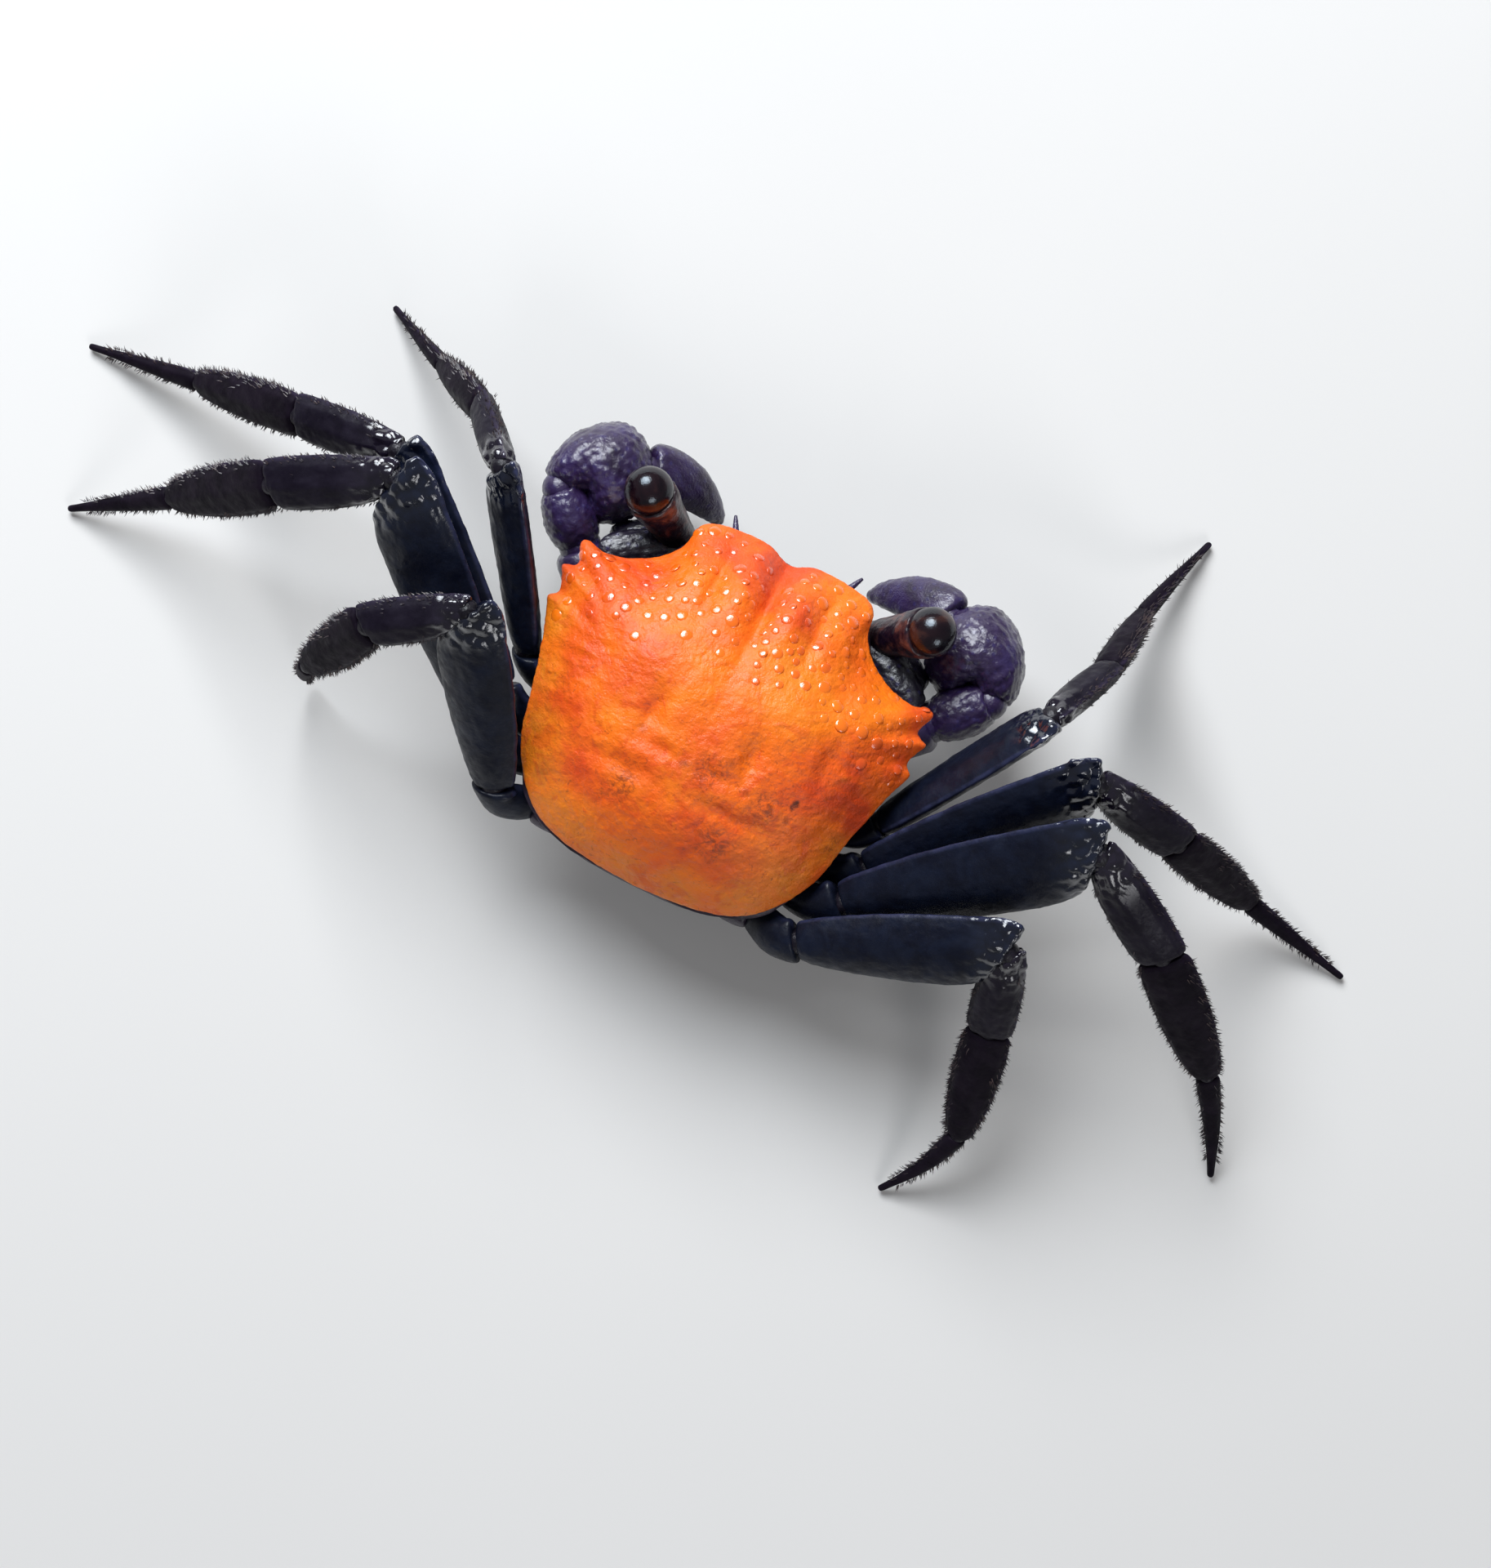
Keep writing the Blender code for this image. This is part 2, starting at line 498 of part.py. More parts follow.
def make_claw(side_name):
    side = SIDES[side_name]
    root, elbow, wrist = (place(point, side) for point in (ARM_ROOT, ARM_END, WRIST_END))
    palm = [place(point, side) for point in PALM_SPINE]
    fingers = [place(point, side) for point in FINGER_SPINE]
    elbow_plane = bisector(root, elbow, wrist)
    wrist_plane = bisector(elbow, wrist, palm[1])
    name = f"claw_{side_name}"
    root_plane = (elbow - root).normalized()
    knuckle = (palm[-1] - palm[-2]).normalized()
    sweep(f"{name}_arm", along(root, elbow, ARM_SECTIONS), scaled(ARM_SECTIONS, 1, 1), UPWARD,
          "claw_purple", 10, 2.2, root_plane, elbow_plane)
    sweep(f"{name}_wrist", along(elbow, wrist, WRIST_SECTIONS), scaled(WRIST_SECTIONS, 1, 1), UPWARD,
          "claw_purple", 12, 2.2, elbow_plane, wrist_plane)
    palm[0] = palm[0] + wrist_plane * PALM_START
    hand = sweep(f"{name}_palm", palm, PALM_SIZES, UPWARD, "claw_purple", 14, 2.2, wrist_plane, knuckle)
    lower = finger_line(fingers, -1)
    lower[0] = lower[0] - knuckle * FINGER_ROOT
    pieces = [sweep("finger", lower, FINGER_SIZES, UPWARD, "claw_purple", 8, 2.0)]
    for share in (1, 2, 3):
        pieces.append(tooth(lower[share], lower[share + 1], FINGER_SIZES[share][1], 1))
    join_pieces(hand, pieces)
    upper = finger_line(fingers, 1)
    upper[0] = upper[0] + knuckle * GAP * 0.5
    movable = sweep(f"{name}_finger", upper, FINGER_SIZES, UPWARD, "claw_purple", 8, 2.0, knuckle, None)
    teeth = [tooth(upper[share], upper[share + 1], FINGER_SIZES[share][1], -1) for share in (1, 2)]
    join_pieces(movable, teeth)


def finger_line(middle, way):
    """The middle line of the upper (way 1) or lower (way -1) finger, bowed away from the other."""
    line = []
    last = len(middle) - 1
    for index, point in enumerate(middle):
        tangent = (middle[min(index + 1, last)] - middle[max(index - 1, 0)]).normalized()
        upright = (UPWARD - tangent * tangent.z).normalized()
        line.append(point + upright * (FINGER_SPREAD[index] * way))
    return line


def tooth(near, far, half_height, way):
    """A blunt cone on the biting edge of a finger."""
    middle = near.lerp(far, 0.5)
    tangent = (far - near).normalized()
    upright = (UPWARD - tangent * tangent.z).normalized() * way
    wide = tangent.cross(upright)
    root, tip, rise = TOOTH_SIZES
    rings = [oval(middle, tangent, wide, root, root, 6),
             oval(middle + upright * (half_height + rise), tangent, wide, tip, tip, 6)]
    return build_mesh("tooth", rings, "claw_purple")


def main():
    clear_scene()
    make_shell()
    make_chest()
    make_flap()
    for side_name, side in SIDES.items():
        stalk(f"eyestalk_{side_name}", side)
        eye(f"eye_{side_name}", side)
        feeler(f"antenna_{side_name}", side)
        small_feeler(f"antennule_{side_name}", side)
        jaw(f"maxilliped_{side_name}", side)
        make_claw(side_name)
        for leg_name in LEGS:
            make_leg(side_name, leg_name)


main()
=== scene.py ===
import math
import random

import bpy
import mathutils
import numpy
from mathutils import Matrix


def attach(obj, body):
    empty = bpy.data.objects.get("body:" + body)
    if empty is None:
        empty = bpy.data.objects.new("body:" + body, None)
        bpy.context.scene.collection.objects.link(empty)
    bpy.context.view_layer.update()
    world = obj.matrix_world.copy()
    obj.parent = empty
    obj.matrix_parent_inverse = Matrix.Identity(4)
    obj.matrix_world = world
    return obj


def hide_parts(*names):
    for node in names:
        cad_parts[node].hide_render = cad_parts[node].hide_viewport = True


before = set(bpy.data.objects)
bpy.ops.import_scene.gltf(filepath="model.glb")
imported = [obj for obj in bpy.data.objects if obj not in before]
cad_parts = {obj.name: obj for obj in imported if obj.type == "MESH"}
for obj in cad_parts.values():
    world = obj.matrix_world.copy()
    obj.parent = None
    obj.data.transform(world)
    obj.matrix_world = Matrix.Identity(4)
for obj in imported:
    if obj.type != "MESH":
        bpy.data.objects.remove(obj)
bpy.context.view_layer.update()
print("frame loaded:", len(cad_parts), "nodes")

mm = 0.001
sides = {"left": 1, "right": -1}
bodyShift = {"across": -1.15, "along": -3.15}      # same as the frame's own origin, in mm
upward = mathutils.Vector((0, 0, 1))


def spot(place, side=1):
    # body place (outward, forward, up) in mm to a world point in metres
    return mathutils.Vector((side * place[0] + bodyShift["across"], bodyShift["along"] - place[1], place[2])) * mm


def heading(turn, pitch, side):
    level = math.cos(math.radians(pitch))
    return mathutils.Vector((side * math.sin(math.radians(turn)) * level, -math.cos(math.radians(turn)) * level,
                             math.sin(math.radians(pitch))))


def smoothStep(low, high, value):
    share = min(max((value - low) / (high - low), 0.0), 1.0)
    return share * share * (3 - 2 * share)


# Materials: small helpers, then one function for each finish

def plug(tree, socket, value):
    # links an output to the socket, or sets a number or a colour on it
    if isinstance(value, bpy.types.NodeSocket):
        tree.links.new(value, socket)
    else:
        socket.default_value = (*value, 1) if isinstance(value, tuple) else value


def feed(tree, node, **sockets):
    # inputs by name, with an underscore for a space
    for name, value in sockets.items():
        plug(tree, node.inputs[name.replace("_", " ")], value)


def addNode(tree, kind, **sockets):
    node = tree.nodes.new(f"ShaderNode{kind}")
    feed(tree, node, **sockets)
    return node


def newFinish(name, **sockets):
    # the material, its tree, its shader and its Object coordinates in millimetres
    finish = bpy.data.materials.new(name)
    finish.use_nodes = True
    tree = finish.node_tree
    shader = tree.nodes["Principled BSDF"]
    feed(tree, shader, **sockets)
    mapping = addNode(tree, "Mapping", Vector=addNode(tree, "TexCoord").outputs["Object"])
    mapping.inputs["Scale"].default_value = (1 / mm,) * 3
    return finish, tree, shader, mapping.outputs["Vector"]


def noise(tree, at, scale, detail, rough=0.55, twist=0.0):
    return addNode(tree, "TexNoise", Vector=at, Scale=scale, Detail=detail, Roughness=rough,
                   Distortion=twist).outputs["Fac"]


def cells(tree, at, scale):
    return addNode(tree, "TexVoronoi", Vector=at, Scale=scale).outputs["Distance"]


def ramp(tree, factor, stops):
    node = addNode(tree, "ValToRGB", Fac=factor)
    while len(node.color_ramp.elements) < len(stops):
        node.color_ramp.elements.new(0.5)
    for element, (place, colour) in zip(node.color_ramp.elements, stops):
        element.position = place
        element.color = (*colour, 1)
    return node.outputs["Color"]


def mixed(tree, factor, first, second):
    node = addNode(tree, "Mix")
    node.data_type = "RGBA"
    for place, value in ((0, factor), (6, first), (7, second)):      # the node's colour inputs are 6 and 7
        plug(tree, node.inputs[place], value)
    return node.outputs[2]


def maths(tree, kind, first, second):
    node = addNode(tree, "Math")
    node.operation = kind
    node.use_clamp = True
    plug(tree, node.inputs[0], first)
    plug(tree, node.inputs[1], second)
    return node.outputs[0]


def vectorMaths(tree, kind, vector, fixed):
    node = addNode(tree, "VectorMath")
    node.operation = kind
    plug(tree, node.inputs[0], vector)
    node.inputs[1].default_value = fixed
    return node.outputs


def spread(tree, value, low, high, toLow=0.0, toHigh=1.0):
    node = addNode(tree, "MapRange", Value=value, From_Min=low, From_Max=high, To_Min=toLow, To_Max=toHigh)
    node.interpolation_type = "SMOOTHSTEP"
    return node.outputs["Result"]


def parted(tree, vector):
    return addNode(tree, "SeparateXYZ", Vector=vector).outputs


def attribute(tree, name):
    node = addNode(tree, "Attribute")
    node.attribute_name = name
    return node.outputs["Fac"]


def raised(tree, shader, heights):
    # heights: (height output, distance in metres), chained into one bump
    last = None
    for height, distance in heights:
        node = addNode(tree, "Bump", Height=height, Distance=distance, Strength=1.0)
        if last is not None:
            feed(tree, node, Normal=last)
        last = node.outputs["Normal"]
    feed(tree, shader, Normal=last, Coat_Normal=last)


def tinted(tree, base, mark, share, colour):
    return mixed(tree, maths(tree, "MULTIPLY", mark, share), base, colour)


def markAround(tree, at, place, radius, soft):
    # a round mark on the back, soft at its edge; place is (outward to the crab's right, forward) in mm
    flat = vectorMaths(tree, "MULTIPLY", at, (1, 1, 0))["Vector"]
    gap = vectorMaths(tree, "DISTANCE", flat, spot((*place, 0), -1) / mm)["Value"]
    return spread(tree, gap, radius, radius + soft, 1.0, 0.0)


def addMarks(tree, at, base, marks, edge, share, colour):
    # marks laid over the base, with rims broken up by the edge pattern
    for mark in marks:
        base = tinted(tree, base, maths(tree, "MULTIPLY", markAround(tree, at, *mark), edge), share, colour)
    return base


shellLook = {
    "orange": (0.87, 0.125, 0.006), "yellow": (0.95, 0.2, 0.006), "red": (0.68, 0.062, 0.007),
    "ochre": (0.8, 0.23, 0.012), "brown": (0.25, 0.042, 0.01), "spot": (0.05, 0.012, 0.006),
    "under": (0.014, 0.009, 0.02), "areaShares": [("yellow", 0.75), ("red", 0.5), ("ochre", 0.8)],
    "spots": [((4.8, -5.7), 0.08, 0.16, 0.95), ((4.72, -5.92), 0.04, 0.16, 0.9), ((4.75, -6.55), 0.03, 0.2, 0.6),
        ((-2.4, -5.7), 0.02, 0.3, 0.4), ((-0.2, -6.3), 0.03, 0.28, 0.45), ((1.6, -5.4), 0.02, 0.3, 0.3),
        ((-5.5, -9.2), 0.05, 0.6, 0.35), ((2.7, -6.2), 0.02, 0.34, 0.4), ((5.9, -4.9), 0.01, 0.24, 0.3)],
    "yellowAreas": [((2.2, -1.6), 0.5, 3.0), ((-6.2, -8.2), 0.5, 1.9), ((-4.6, -10.6), 0.4, 1.6),
        ((-1.6, -11.4), 0.4, 1.5), ((5.2, -10.2), 0.3, 1.4), ((-7.0, -5.4), 0.2, 1.0)],
    "ochreAreas": [((-7.6, -5.4), 0.2, 1.3), ((-6.9, -8.1), 0.6, 1.6), ((-5.6, -9.9), 0.5, 1.5),
        ((-3.5, -11.2), 0.5, 1.6), ((-0.6, -11.8), 0.4, 1.5), ((2.1, -11.6), 0.5, 1.4), ((4.6, -10.5), 0.4, 1.4),
        ((6.2, -9.0), 0.3, 1.3), ((7.3, -6.8), 0.2, 1.1), ((-7.9, -3.2), 0.2, 1.0), ((2.4, -1.2), 0.4, 2.2)],
    "redAreas": [((0.8, -7.4), 0.8, 3.2), ((-3.6, -3.4), 0.3, 2.2), ((0.4, 3.2), 0.3, 1.6), ((5.8, -3.6), 0.2, 1.6)],
    "smudges": [((0.9, -6.1), 0.3, 0.9), ((3.7, -6.4), 0.2, 0.8), ((-2.2, -8.2), 0.2, 0.9), ((2.4, -8.8), 0.2, 1.0)],
}
shellBroad = (0.3, 3, 0.5, 0.4)                      # noise: scale, detail, roughness and twist
shellStops = [(0.34, shellLook["red"]), (0.47, shellLook["orange"]), (0.68, shellLook["yellow"])]


def shellFinish():
    finish, tree, shader, at = newFinish("shellOrange", Specular_IOR_Level=0.4)
    base = ramp(tree, noise(tree, at, *shellBroad), shellStops)
    ragged = noise(tree, at, 0.9, 5, 0.6, 0.9)
    raggedEdge = spread(tree, ragged, 0.36, 0.6, 0.35, 1.0)
    for colour, share in shellLook["areaShares"]:
        base = addMarks(tree, at, base, shellLook[f"{colour}Areas"], raggedEdge, share, shellLook[colour])
    rear = spread(tree, parted(tree, at)[1], -3.0, 2.5)          # the mottling is stronger behind the middle
    patches = maths(tree, "MULTIPLY", spread(tree, ragged, 0.52, 0.66), maths(tree, "ADD", rear, 0.3))
    base = tinted(tree, base, patches, 0.5, shellLook["red"])
    flecks = noise(tree, at, 2.4, 4, 0.7, 1.4)
    fleckShare = maths(tree, "MULTIPLY", spread(tree, flecks, 0.57, 0.72), maths(tree, "ADD", rear, 0.15))
    base = tinted(tree, base, fleckShare, 0.55, shellLook["brown"])
    base = addMarks(tree, at, base, shellLook["smudges"], spread(tree, flecks, 0.4, 0.62), 0.8, shellLook["brown"])
    pale = spread(tree, noise(tree, at, 1.7, 3, 0.6, 0.5), 0.6, 0.8)
    base = tinted(tree, base, pale, 0.5, shellLook["yellow"])
    spotEdge = spread(tree, flecks, 0.36, 0.56, 0.4)
    for *mark, share in shellLook["spots"]:
        base = addMarks(tree, at, base, [mark], spotEdge, share, shellLook["spot"])
    facing = addNode(tree, "TexCoord").outputs["Normal"]
    under = spread(tree, parted(tree, facing)[2], -0.35, -0.05, 1.0, 0.0)
    feed(tree, shader, Base_Color=mixed(tree, under, base, shellLook["under"]),
         Roughness=spread(tree, noise(tree, at, 1.3, 4, 0.6), 0.35, 0.7, 0.36, 0.52))
    raised(tree, shader, [(noise(tree, at, 9.0, 3, 0.6), 0.00003), (noise(tree, at, 2.6, 4, 0.6), 0.00008)])
    return finish


def limbFinish(name, dark, light, edge, roughness, coat, level):
    # moist dark shell, paler along the crest, wet where the attribute says
    finish, tree, shader, at = newFinish(name, Coat_Weight=coat, Coat_Roughness=0.11, Coat_IOR=1.6,
                                         Specular_IOR_Level=level)
    wet = attribute(tree, "wet")
    base = mixed(tree, spread(tree, noise(tree, at, 0.8, 4, 0.6, 0.5), 0.35, 0.7), dark, light)
    crest = spread(tree, attribute(tree, "crest"), 0.9, 1.0)
    worn = spread(tree, noise(tree, at, 1.6, 3, 0.6), 0.35, 0.65, 0.3, 0.9)
    base = mixed(tree, maths(tree, "MULTIPLY", crest, worn), base, edge)
    base = tinted(tree, base, spread(tree, noise(tree, at, 4.0, 4, 0.7), 0.58, 0.8), 0.2, edge)
    dull = spread(tree, noise(tree, at, 2.2, 4, 0.6), 0.3, 0.7, roughness - 0.08, roughness + 0.1)
    shine = addNode(tree, "Mix", Factor=wet, A=dull, B=0.13)
    feed(tree, shader, Base_Color=base, Roughness=shine.outputs["Result"])
    if coat:
        feed(tree, shader, Coat_Weight=maths(tree, "ADD", wet, coat))
    raised(tree, shader, [(noise(tree, at, 7.0, 4, 0.6), 0.00001), (noise(tree, at, 2.4, 3, 0.5), 0.00003)])
    return finish


def clawFinish(name, deep, middle, pale):
    # purple with paler round tips, shinier on the tips
    finish, tree, shader, at = newFinish(name, Coat_Weight=0.8, Coat_Roughness=0.09, Specular_IOR_Level=0.42)
    base = ramp(tree, noise(tree, at, 0.55, 4, 0.6, 0.6), [(0.34, deep), (0.52, middle), (0.7, pale)])
    tips = cells(tree, at, 2.9)
    feed(tree, shader, Base_Color=mixed(tree, spread(tree, tips, 0.1, 0.42, 0.35, 0.0), base, (0.05, 0.045, 0.15)),
         Roughness=spread(tree, tips, 0.05, 0.5, 0.2, 0.46))
    raised(tree, shader, [(noise(tree, at, 8.0, 4, 0.6), 0.00003)])
    return finish


def plainFinish(name, grain, stops, relief=None, groove=None, lenses=None, **sockets):
    # one ramp over one noise; relief: (scale, detail, height), groove: the colour of marked grooves
    finish, tree, shader, at = newFinish(name, **sockets)
    base = ramp(tree, noise(tree, at, *grain), stops)
    feed(tree, shader, Base_Color=mixed(tree, attribute(tree, "groove"), base, groove) if groove else base)
    if relief:
        scale, detail, height = relief
        raised(tree, shader, [(noise(tree, at, scale, detail, 0.6), height)])
    if lenses:
        raised(tree, shader, [(cells(tree, at, lenses[0]), lenses[1])])
    return finish


finishes = {
    "shell": shellFinish(),
    "grain": plainFinish("wetGrains", shellBroad, shellStops, (12.0, 3, 0.00001), Roughness=0.2, Coat_Weight=1.0,
        Coat_Roughness=0.14, Coat_IOR=1.6, IOR=1.5),
    "claw": clawFinish("clawPurple", (0.011, 0.003, 0.024), (0.023, 0.009, 0.055), (0.034, 0.02, 0.095)),
    # the claw's purple made much darker: partly the cheeks' own dark colour, partly painted shade for the cheeks and
    # jowls under the shell's edge
    "cheek": clawFinish("cheekPurpleWithPaintedShade", (0.003, 0.002, 0.006), (0.007, 0.004, 0.014), (0.014, 0.008, 0.03)),
    "belly": plainFinish("bellyPurple", (0.6, 5, 0.6, 0.5),
        [(0.34, (0.012, 0.007, 0.018)), (0.52, (0.03, 0.018, 0.036)), (0.7, (0.06, 0.038, 0.06))], (7.0, 4, 0.00003),
        groove=(0.006, 0.004, 0.009), Roughness=0.45, Coat_Weight=0.15, Coat_Roughness=0.2, Specular_IOR_Level=0.4),
    "eye": plainFinish("corneaDark", (0.7, 3, 0.5, 0.8),
        [(0.4, (0.004, 0.001, 0.003)), (0.56, (0.012, 0.004, 0.006)), (0.74, (0.07, 0.026, 0.018))],
        lenses=(14.0, 0.000004), Roughness=0.18, IOR=1.52, Specular_Tint=(0.78, 0.9, 1.0)),
    "stalk": plainFinish("stalkBrown", (1.5, 4, 0.6, 0.7),
        [(0.4, (0.008, 0.003, 0.01)), (0.52, (0.026, 0.01, 0.015)), (0.66, (0.12, 0.042, 0.034))],
        (6.0, 3, 0.00003), Roughness=0.28, Specular_IOR_Level=0.45),
    "membrane": plainFinish("jointMembrane", (2.0, 4, 0.6, 0.4),
        [(0.36, (0.003, 0.002, 0.005)), (0.55, (0.008, 0.006, 0.012)), (0.75, (0.02, 0.014, 0.022))],
        (5.0, 4, 0.00005), Roughness=0.35, Specular_IOR_Level=0.35),
    "bristle": plainFinish("bristleBrown", (1.2, 3, 0.5),
        [(0.35, (0.01, 0.006, 0.012)), (0.55, (0.03, 0.017, 0.02)), (0.75, (0.075, 0.042, 0.035))], Roughness=0.45),
    "leg": limbFinish("legNavy", (0.003, 0.004, 0.011), (0.006, 0.009, 0.022), (0.026, 0.03, 0.075),
        roughness=0.42, coat=0.06, level=0.2),
    "shin": limbFinish("shinCharcoal", (0.005, 0.003, 0.009), (0.012, 0.009, 0.018), (0.03, 0.022, 0.048),
        roughness=0.5, coat=0.04, level=0.14),
    "toe": limbFinish("toeBlack", (0.004, 0.002, 0.006), (0.01, 0.006, 0.013), (0.026, 0.018, 0.04),
        roughness=0.6, coat=0.0, level=0.08),
}
print("finishes made")


# Modelling helpers

def clearSelection():
    if bpy.context.object and bpy.context.object.mode != "OBJECT":
        bpy.ops.object.mode_set(mode="OBJECT")
    bpy.ops.object.select_all(action="DESELECT")


def pick(piece):
    clearSelection()
    piece.select_set(True)
    bpy.context.view_layer.objects.active = piece


def shadeSmooth(piece):
    pick(piece)
    bpy.ops.object.shade_smooth()


def faceOutward():
    bpy.ops.object.mode_set(mode="EDIT")
    bpy.ops.mesh.select_all(action="SELECT")
    bpy.ops.mesh.normals_make_consistent(inside=False)
    bpy.ops.object.mode_set(mode="OBJECT")


def growTube(name, rings, marks=None):
    # a filled circle is extruded once for each ring, then its corners move to the rings' places
    clearSelection()
    count = len(rings[0])
    bpy.ops.mesh.primitive_circle_add(vertices=count, radius=1.0, fill_type="NGON", location=(0, 0, 0))
    piece = bpy.context.object
    piece.name = name
    bpy.ops.object.mode_set(mode="EDIT")
    bpy.ops.mesh.select_all(action="SELECT")
    for level in rings[1:]:
        bpy.ops.mesh.extrude_region_move(TRANSFORM_OT_translate={"value": (0, 0, 1.0)})
    bpy.ops.object.mode_set(mode="OBJECT")
    corners = piece.data.vertices
    mark = piece.data.attributes.new("crest" if marks is None else "groove", "FLOAT", "POINT")
    step = 2 * math.pi / count
    for corner in corners:
        level = round(corner.co.z)
        column = round(math.atan2(corner.co.y, corner.co.x) / step) % count
        mark.data[corner.index].value = math.cos(column * step) if marks is None else marks[level]
        corner.co = rings[level][column]
    faceOutward()
    return piece


def meshPiece(name, places, faces):
    mesh = bpy.data.meshes.new(name)
    mesh.from_pydata(places, [], faces)
    piece = bpy.data.objects.new(name, mesh)
    bpy.context.scene.collection.objects.link(piece)
    return piece


def addSpike(corners, faces, rings, tip, side, other, count):
    # a closed dome or spike: rings of (centre, radius), a tip and a flat base
    first = len(corners)
    for centre, radius in rings:
        for turn in (2 * math.pi * column / count for column in range(count)):
            corners.append(centre + (side * math.cos(turn) + other * math.sin(turn)) * radius)
    top = len(corners) - count
    corners.append(tip)
    for column in range(count):
        after = (column + 1) % count
        for low in range(first, top, count):
            faces.append((low + column, low + after, low + count + after, low + count + column))
        faces.append((top + column, top + after, top + count))
    faces.append(tuple(first + column for column in reversed(range(count))))


def ballAt(name, point, radius, segments=20, rings=12):
    clearSelection()
    bpy.ops.mesh.primitive_uv_sphere_add(segments=segments, ring_count=rings, radius=radius * mm, location=point)
    piece = bpy.context.object
    piece.name = name
    bpy.ops.object.transform_apply(location=True, rotation=True, scale=True)
    bpy.ops.object.shade_smooth()
    return piece


def applyModifier(piece, modifier):
    bpy.context.view_layer.objects.active = piece
    bpy.ops.object.modifier_apply(modifier=modifier.name)


def smoothPiece(piece, levels):
    soften = piece.modifiers.new("soften", "SUBSURF")
    soften.levels = levels
    soften.render_levels = levels
    applyModifier(piece, soften)
    shadeSmooth(piece)


restLevel = {"CLOUDS": 0.5, "VORONOI": 0.4}          # the pattern's level that leaves the surface in place


def roughen(piece, kind, size, strength, group=""):
    # pushes the surface out and in by a fine pattern: size and strength in mm
    pattern = bpy.data.textures.new(f"{piece.name}_{kind}", kind)
    pattern.noise_scale = size * mm
    press = piece.modifiers.new("press", "DISPLACE")
    press.texture = pattern
    press.texture_coords = "LOCAL"
    press.strength = strength * mm
    press.mid_level = restLevel[kind]
    press.vertex_group = group
    applyModifier(piece, press)


def joinPieces(name, pieces):
    clearSelection()
    for piece in pieces:
        piece.select_set(True)
    bpy.context.view_layer.objects.active = pieces[0]
    bpy.ops.object.join()
    pieces[0].name = name
    return pieces[0]


def keepPiece(piece, finish, slotName, *nodes):
    piece.data.materials.clear()
    piece.data.materials.append(finishes[finish])
    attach(piece, "root")
    if nodes:
        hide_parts(*nodes)


def between(before, first, second, after, part):
    # the smooth line from first to second at a part of the way, with its neighbours on both sides
    return 0.5 * (first * 2 + (second - before) * part + (before * 2 - first * 5 + second * 4 - after) * part ** 2
                  + (first * 3 - before - second * 3 + after) * part ** 3)


def curveThrough(points, share):
    # a smooth line through the points; share runs from 0 to 1
    last = len(points) - 1
    place = min(max(share, 0.0), 1.0) * last
    index = min(int(place), last - 1)
    return between(points[max(index - 1, 0)], points[index], points[index + 1], points[min(index + 2, last)],
                   place - index)


def tangentAt(line, share, step=0.02):
    return (curveThrough(line, share + step) - curveThrough(line, share - step)).normalized()


def straight(start, end):
    return [start, start.lerp(end, 0.33), start.lerp(end, 0.66), end]


def placed(points, side):
    return [spot(point, side) for point in points]


def scaled(sizes, wide, thick):
    # sizes: (share of the line, half width, half thickness)
    return [(share, wideShare * wide, thickShare * thick) for share, wideShare, thickShare in sizes]


def squared(value, power):
    # a sine or cosine pushed outward, so that a circle turns squarish when the power is under 1
    return math.copysign(abs(value) ** power, value)


def limbFrame(line, share, hint):
    # point, tangent, wide way and thick way at a share of the line
    tangent = tangentAt(line, share)
    thick = (hint - tangent * hint.dot(tangent)).normalized()
    return curveThrough(line, share), tangent, tangent.cross(thick), thick


def limbRings(line, stations, hint, count=16, edge=0.0, flute=0.0, mitre=(0.0, 0.0), power=2.0):
    # stations: (share of the line, half width, half thickness) in mm
    # edge thins the crest side, flute lifts every second column, mitre slants the ends
    rings = []
    length = sum((after - before).length for before, after in zip(line, line[1:]))
    for share, halfWide, halfThick in stations:
        point, tangent, wide, thick = limbFrame(line, share, hint)
        reach = 2.2 * halfWide * mm / length             # the slant fades over about a width of the limb
        slant = mitre[1] * smoothStep(1 - reach, 1, share) - mitre[0] * smoothStep(reach, 0, share)
        ring = []
        for column in range(count):
            angle = 2 * math.pi * column / count
            across = squared(math.cos(angle), 2 / power)
            beside = squared(math.sin(angle), 2 / power) * (1 - edge * max(across, 0.0) ** 2)
            swell = 1 + (flute if column % 2 == 0 else -flute)
            x = across * halfWide * swell * mm
            y = beside * halfThick * swell * mm
            ring.append(point + wide * x + thick * y + tangent * (slant * x))
        rings.append(ring)
    return rings


def limbPiece(name, line, stations, levels, hint=upward, **shape):
    piece = growTube(name, limbRings(line, stations, hint, **shape))
    smoothPiece(piece, levels)
    return piece


# Shell: the orange back, with its teeth, lobes, furrows and grains

